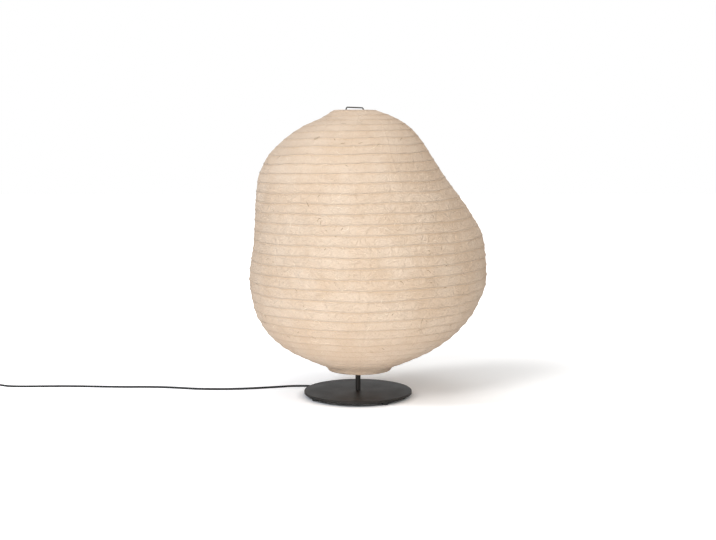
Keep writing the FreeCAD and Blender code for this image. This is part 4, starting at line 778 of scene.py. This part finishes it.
def make_stretcher():
    """The welded stretcher in round wire: bow, legs, seat ring, spokes and ears."""
    along = np.array([math.cos(BOW_TURN), math.sin(BOW_TURN), 0.0])

    def spot(distance, height):
        return np.array([LEAN * (SEAT - height), 0.0, height]) + along * distance

    corners = [spot(-distance, height) for distance, height in BOW_HALF]
    corners += [spot(distance, height) for distance, height in reversed(BOW_HALF)]
    ring = [np.array([SEAT_RING * math.cos(a), SEAT_RING * math.sin(a), SEAT])
            for a in TURN * np.arange(64) / 64]
    pieces = [tube_of(rounded(corners, BOW_BENDS), WIRE_RADIUS, WIRE_SIDES),
              tube_of(ring, WIRE_RADIUS, WIRE_SIDES, closed=True)]
    for side in (-1, 1):
        pieces += [tube_of([spot(side * near, height), spot(side * far, height)],
                           WIRE_RADIUS, WIRE_SIDES) for near, far, height in STUBS]
    points, faces = merged(pieces)
    piece = mesh_piece("stretcher_wire", from_stem(points), faces, LOOK["wire"], "shade")
    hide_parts("stretcher")


def make_globe():
    """The opal globe with its drawn-in neck, and the cement line at the cap."""
    start = math.asin(NECK_RADIUS / GLOBE_RADIUS) + math.radians(8)
    profile = [(NECK_FOOT - 0.4, NECK_RADIUS - 0.4), (NECK_FOOT, NECK_RADIUS),
               (NECK_TOP, NECK_RADIUS)]
    profile += [(GLOBE_MIDDLE - GLOBE_RADIUS * math.cos(a), GLOBE_RADIUS * math.sin(a))
                for a in np.linspace(start, math.pi - 0.03, 40)]
    points, faces = turned((0, 0, 0), (0, 0, 1), profile, 72)
    piece = mesh_piece("globe_glass", from_stem(points), faces, LOOK["opal"], "bulb")
    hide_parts("bulb_globe")


# ---------------------------------------------------------------- flex

FLEX_RADIUS = 2.5
SWITCH_X, SWITCH_HALF, FLEX_Y, SWITCH_AXIS = -922, 30, 82, 7
PLUG_X, PLUG_Y, PLUG_AXIS = -944, 7, 6.9

# The run on the floor from the saddle at the base's rim to the coil, given point by point.
RUN = [
    (-101.6, 71.1, 4.6), (-116.3, 81.4, 4.2), (-134, 87.5, 3.0), (-160, 88, 2.5),
    (-192, 78, 2.5), (-229, 68, 2.5), (-266, 59, 2.5), (-304, 54, 2.5), (-345, 53.5, 2.5),
    (-385, 56.5, 2.5), (-424, 67, 2.5), (-462, 75, 2.5), (-505, 78.5, 2.5), (-560, 77, 2.5),
    (-620, 81.5, 2.5), (-685, 87, 2.5), (-745, 86, 2.5), (-800, 83, 2.5), (-840, 82, 3.4),
    (-861, 82, 7.0), (-872, 82, 7.0), (-922, 82, 7.0), (-972, 82, 7.0), (-984, 82, 7.0),
    (-1003, 82, 2.5)]
TAIL = [(-1018, 7, 8.1), (-1004, 7, 8.1), (-982, 7, 6.9), (-968, 7, 6.9)]

# Half turns of the coil: inwards on the floor, one that climbs, outwards on top.
COIL_RADII = [37.5, 34.7, 31.9, 29.1, 26.3, 29.1, 31.9, 34.7, 37.5]
COIL_X, COIL_RISE, COIL_STEPS = -1020.0, 5.6, 8
COIL_EASE = 1.008      # makes up for the curve's cutting of its corners

# The strap round the coil: left, right, low, high and corner radius of its loops.
TIE_OUTER = -1061.0, -1042.8, 0.02, 11.5, 3.0
TIE_INNER = -1060.2, -1043.6, 0.27, 10.7, 2.4
TIE_EDGES = 41.3, 47.7


def ribbed(foot, way, near, far, length, grooves):
    """A tapered rubber sleeve with grooves round it and a rounded tip."""
    profile = [(0.0, near)]
    for k in range(grooves):
        for part, depth in ((0.12, 0.0), (0.30, 0.55), (0.62, 0.55), (0.80, 0.0)):
            along = length * (0.08 + 0.80 * (k + part) / grooves)
            profile.append((along, near + (far - near) * along / length - depth))
    profile += [(length * 0.93, near + (far - near) * 0.93), (length * 0.985, far - 0.12),
                (length, far - 0.6)]
    return turned(foot, way, profile, 32)


def make_sleeves():
    """The rubber strain reliefs: one at each end of the switch and one at the plug."""
    points, faces = merged([
        ribbed((SWITCH_X + SWITCH_HALF * side, FLEX_Y, SWITCH_AXIS), (side, 0, 0),
               near=4.6, far=3.4, length=20, grooves=5) for side in (-1, 1)])
    both = mesh_piece("switch_reliefs", from_stem(points), faces, LOOK["rubber"], "stand")
    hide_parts("switch_sleeves")
    points, faces = ribbed((PLUG_X, PLUG_Y, PLUG_AXIS), (-1, 0, 0),
                           near=5.0, far=3.4, length=24, grooves=6)
    tail = mesh_piece("plug_relief", from_stem(points), faces, LOOK["rubber"], "stand")
    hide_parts("plug_sleeve")
    return [both, tail]


def rounded_loop(left, right, low, high, corner):
    """An upright rectangle with rounded corners, as (x, z) pairs."""
    spots = []
    for x, z, first in ((right - corner, high - corner, 0), (left + corner, high - corner, 90),
                        (left + corner, low + corner, 180), (right - corner, low + corner, 270)):
        for k in range(7):
            a = math.radians(first + 15 * k)
            spots.append((x + corner * math.cos(a), z + corner * math.sin(a)))
    return spots


def make_tie():
    """The strap that holds the put-away coil together, thin where it lies on the floor."""
    outer, inner = rounded_loop(*TIE_OUTER), rounded_loop(*TIE_INNER)
    points = [(x, y, z) for y in TIE_EDGES for x, z in outer + inner]
    count, faces = len(outer), []
    for i in range(count):
        j = (i + 1) % count
        faces.append((i, i + 2 * count, j + 2 * count, j))
        faces.append((i + count, j + count, j + 3 * count, i + 3 * count))
        faces.append((i, j, j + count, i + count))
        faces.append((i + 2 * count, i + 3 * count, j + 3 * count, j + 2 * count))
    tie = mesh_piece("coil_tie", from_stem(points), faces, LOOK["black_plastic"], "stand",
                     smooth=False)
    return tie


def flex_route():
    """The flex from the saddle, past the switch, round the put-away coil and back to the
    plug. The half turns of the coil go south round its west side and north round its east
    side in turn."""
    points = list(RUN)
    here = np.array([COIL_X, float(FLEX_Y)])
    height = FLEX_RADIUS
    side = 1
    for radius in COIL_RADII:
        rise = COIL_RISE if radius == min(COIL_RADII) else 0.0
        middle = here - np.array([0, side * radius])
        for k in range(COIL_STEPS):
            angle = math.pi * (k + 0.5) / COIL_STEPS
            x, y = middle + COIL_EASE * radius * np.array([-side * math.sin(angle),
                                                           side * math.cos(angle)])
            points.append((x, y, height + rise * (k + 0.5) / COIL_STEPS))
        here = middle - np.array([0, side * radius])
        height += rise
        side = -side
    return points + TAIL


def make_flex():
    """The flex as one round curve along its route."""
    curve = bpy.data.curves.new("flex_line", "CURVE")
    curve.dimensions = "3D"
    curve.bevel_depth = FLEX_RADIUS * MM
    curve.bevel_resolution = 5
    curve.resolution_u = 12
    curve.use_fill_caps = True
    route = flex_route()
    line = curve.splines.new("NURBS")
    line.points.add(len(route) - 1)
    for spot, point in zip(route, line.points):
        point.co = (spot[0] * MM + AXIS, spot[1] * MM, spot[2] * MM, 1)
    line.order_u = 3
    line.use_endpoint_u = True
    piece = bpy.data.objects.new("flex_line", curve)
    bpy.context.scene.collection.objects.link(piece)
    curve.materials.append(LOOK["flex"])
    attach(piece, "stand")
    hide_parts("cord_run", "cord_coil")
    return piece, route


make_skin()
make_stretcher()
make_globe()
reliefs = make_sleeves()
tie = make_tie()
make_bamboo()
make_folds()
make_flecks("bark_flecks", "fleck", number=150, shortest=4.0, longest=15.0, wide=0.9, seed=41)
make_flecks("pale_fibres", "fleck_pale", number=260, shortest=8.0, longest=26.0, wide=0.6,
            seed=43)
flex, route = make_flex()


# ---------------------------------------------------------------- setting

FLOOR_HALF = 9.0
FLOOR_GLOW, POOL_EDGE_GLOW, FAR_GLOW = 0.11, 0.27, 0.6
# The floor glows least in a long pool that starts at the lamp and points back right: a painted
# shadow of the shade.
POOL_PLACE, POOL_SIZE, POOL_TURN = (0.2, 0.17, 0.0), (0.45, 0.2, 1.0), math.radians(36)
POOL_FADE = 0.35, 1.1
FAR_FROM, FAR_FADE = (0.2, 0.1, 0.0), (0.3, 1.3)
BASE_SHADE = 0.117, 0.15   # distances from the stem over which the glow comes in
FILL = 0.284               # strength of the world's light; the eye sees it white

CAMERA_PLACE = AXIS, -2.7, 0.606
CAMERA_TILT = 6.61
LENS, SENSOR = 59.41, 36.0

# Lamps: place, what they point at, width, watts and colour.
LIGHTS = [
    ("key", (-2.4, -1.8, 2.35), (AXIS, 0, 0.3), 0.6, 49.0, (0.92, 1.0, 1.12)),
    ("front", (-0.5, -3.3, 1.7), (AXIS, 0, 0.3), 2.6, 27.0, (1.0, 1.0, 1.01)),
    ("top", (0.0, 0.0, 3.2), (AXIS, 0, 0.3), 2.5, 28.0, (1.0, 1.0, 1.0)),
    ("right", (2.7, -1.5, 2.1), (AXIS, 0, 0.35), 1.6, 31.0, (1.04, 1.0, 0.95)),
    ("low", (-0.8, -2.6, 0.16), (AXIS, 0, 0.16), 0.9, 27.0, (1.02, 1.0, 0.97)),
    ("bounce", (-0.12, -0.5, 0.01), (-0.12, -0.5, 1.0), 0.8, 0.5, (1.02, 1.0, 0.99)),
]


def floor_material():
    """White paper sweep. To the camera it glows a little, least in a pool that paints the
    shade's shadow deeper, and not at all under the base, which paints a dark contact shadow
    round its rim."""
    white = bpy.data.materials.new("floor_white")
    white.use_nodes = True
    tree = white.node_tree
    shader = tree.nodes["Principled BSDF"].inputs
    seen = node(tree, "ShaderNodeLightPath").outputs["Is Camera Ray"]
    place = object_place(tree)
    away = vector(tree, "DISTANCE", place, FAR_FROM, output="Value")
    pool = node(tree, "ShaderNodeMapping", {
        "Vector": place, "Location": POOL_PLACE, "Scale": POOL_SIZE,
        "Rotation": (0.0, 0.0, POOL_TURN)}, vector_type="TEXTURE").outputs[0]
    beyond = vector(tree, "LENGTH", pool, output="Value")
    from_base = vector(tree, "DISTANCE", place, (AXIS, 0.0, 0.0), output="Value")
    glow = plus(tree, span(tree, beyond, *POOL_FADE, FLOOR_GLOW, FLOOR_GLOW + POOL_EDGE_GLOW),
                span(tree, away, *FAR_FADE, 0.0, FAR_GLOW))
    glow = times(tree, seen, times(tree, glow, span(tree, from_base, *BASE_SHADE)))
    shader["Base Color"].default_value = (0.93, 0.93, 0.93, 1)
    shader["Roughness"].default_value = 0.9
    shader["Specular IOR Level"].default_value = 0.1
    shader["Emission Color"].default_value = (1, 1, 1, 1)
    feed(tree, glow, shader["Emission Strength"])
    return white


def make_floor():
    """A large white floor under everything."""
    corners = [(-1, -1), (1, -1), (1, 1), (-1, 1)]
    mesh = bpy.data.meshes.new("floor")
    mesh.from_pydata([(FLOOR_HALF * x, FLOOR_HALF * y, 0) for x, y in corners], [],
                     [(0, 1, 2, 3)])
    floor = bpy.data.objects.new("floor", mesh)
    bpy.context.scene.collection.objects.link(floor)
    mesh.materials.append(floor_material())


def make_world():
    """A dim white world that the camera and mirrors see at full white."""
    world = bpy.data.worlds.new("studio")
    bpy.context.scene.world = world
    world.use_nodes = True
    tree = world.node_tree
    back = tree.nodes["Background"].inputs
    back["Color"].default_value = (1, 1, 1, 1)
    path = node(tree, "ShaderNodeLightPath").outputs
    either = maths(tree, "MAXIMUM", path["Is Camera Ray"], path["Is Glossy Ray"])
    either = maths(tree, "MAXIMUM", either, path["Is Transmission Ray"])
    feed(tree, plus(tree, FILL, times(tree, either, 1.0 - FILL)), back["Strength"])


def make_lights():
    """The lamps of the setting, none of which the camera sees."""
    for name, place, target, size, power, colour in LIGHTS:
        data = bpy.data.lights.new(name, "AREA")
        data.shape, data.size, data.energy, data.color = "DISK", size, power, colour
        lamp = bpy.data.objects.new(name, data)
        lamp.visible_camera = False
        bpy.context.scene.collection.objects.link(lamp)
        lamp.location = place
        way = Vector(target) - Vector(place)
        lamp.rotation_euler = way.to_track_quat("-Z", "Y").to_euler()


def make_camera():
    """The camera that fits the photograph, looking a little down."""
    data = bpy.data.cameras.new("camera")
    data.lens, data.sensor_width = LENS, SENSOR
    data.clip_end = 100
    camera = bpy.data.objects.new("camera", data)
    bpy.context.scene.collection.objects.link(camera)
    camera.location = CAMERA_PLACE
    camera.rotation_euler = (math.radians(90 - CAMERA_TILT), 0, 0)
    bpy.context.scene.camera = camera
    bpy.context.scene.view_settings.view_transform = "Standard"
    bpy.context.scene.view_settings.look = "None"


make_floor()
make_world()
make_lights()
make_camera()
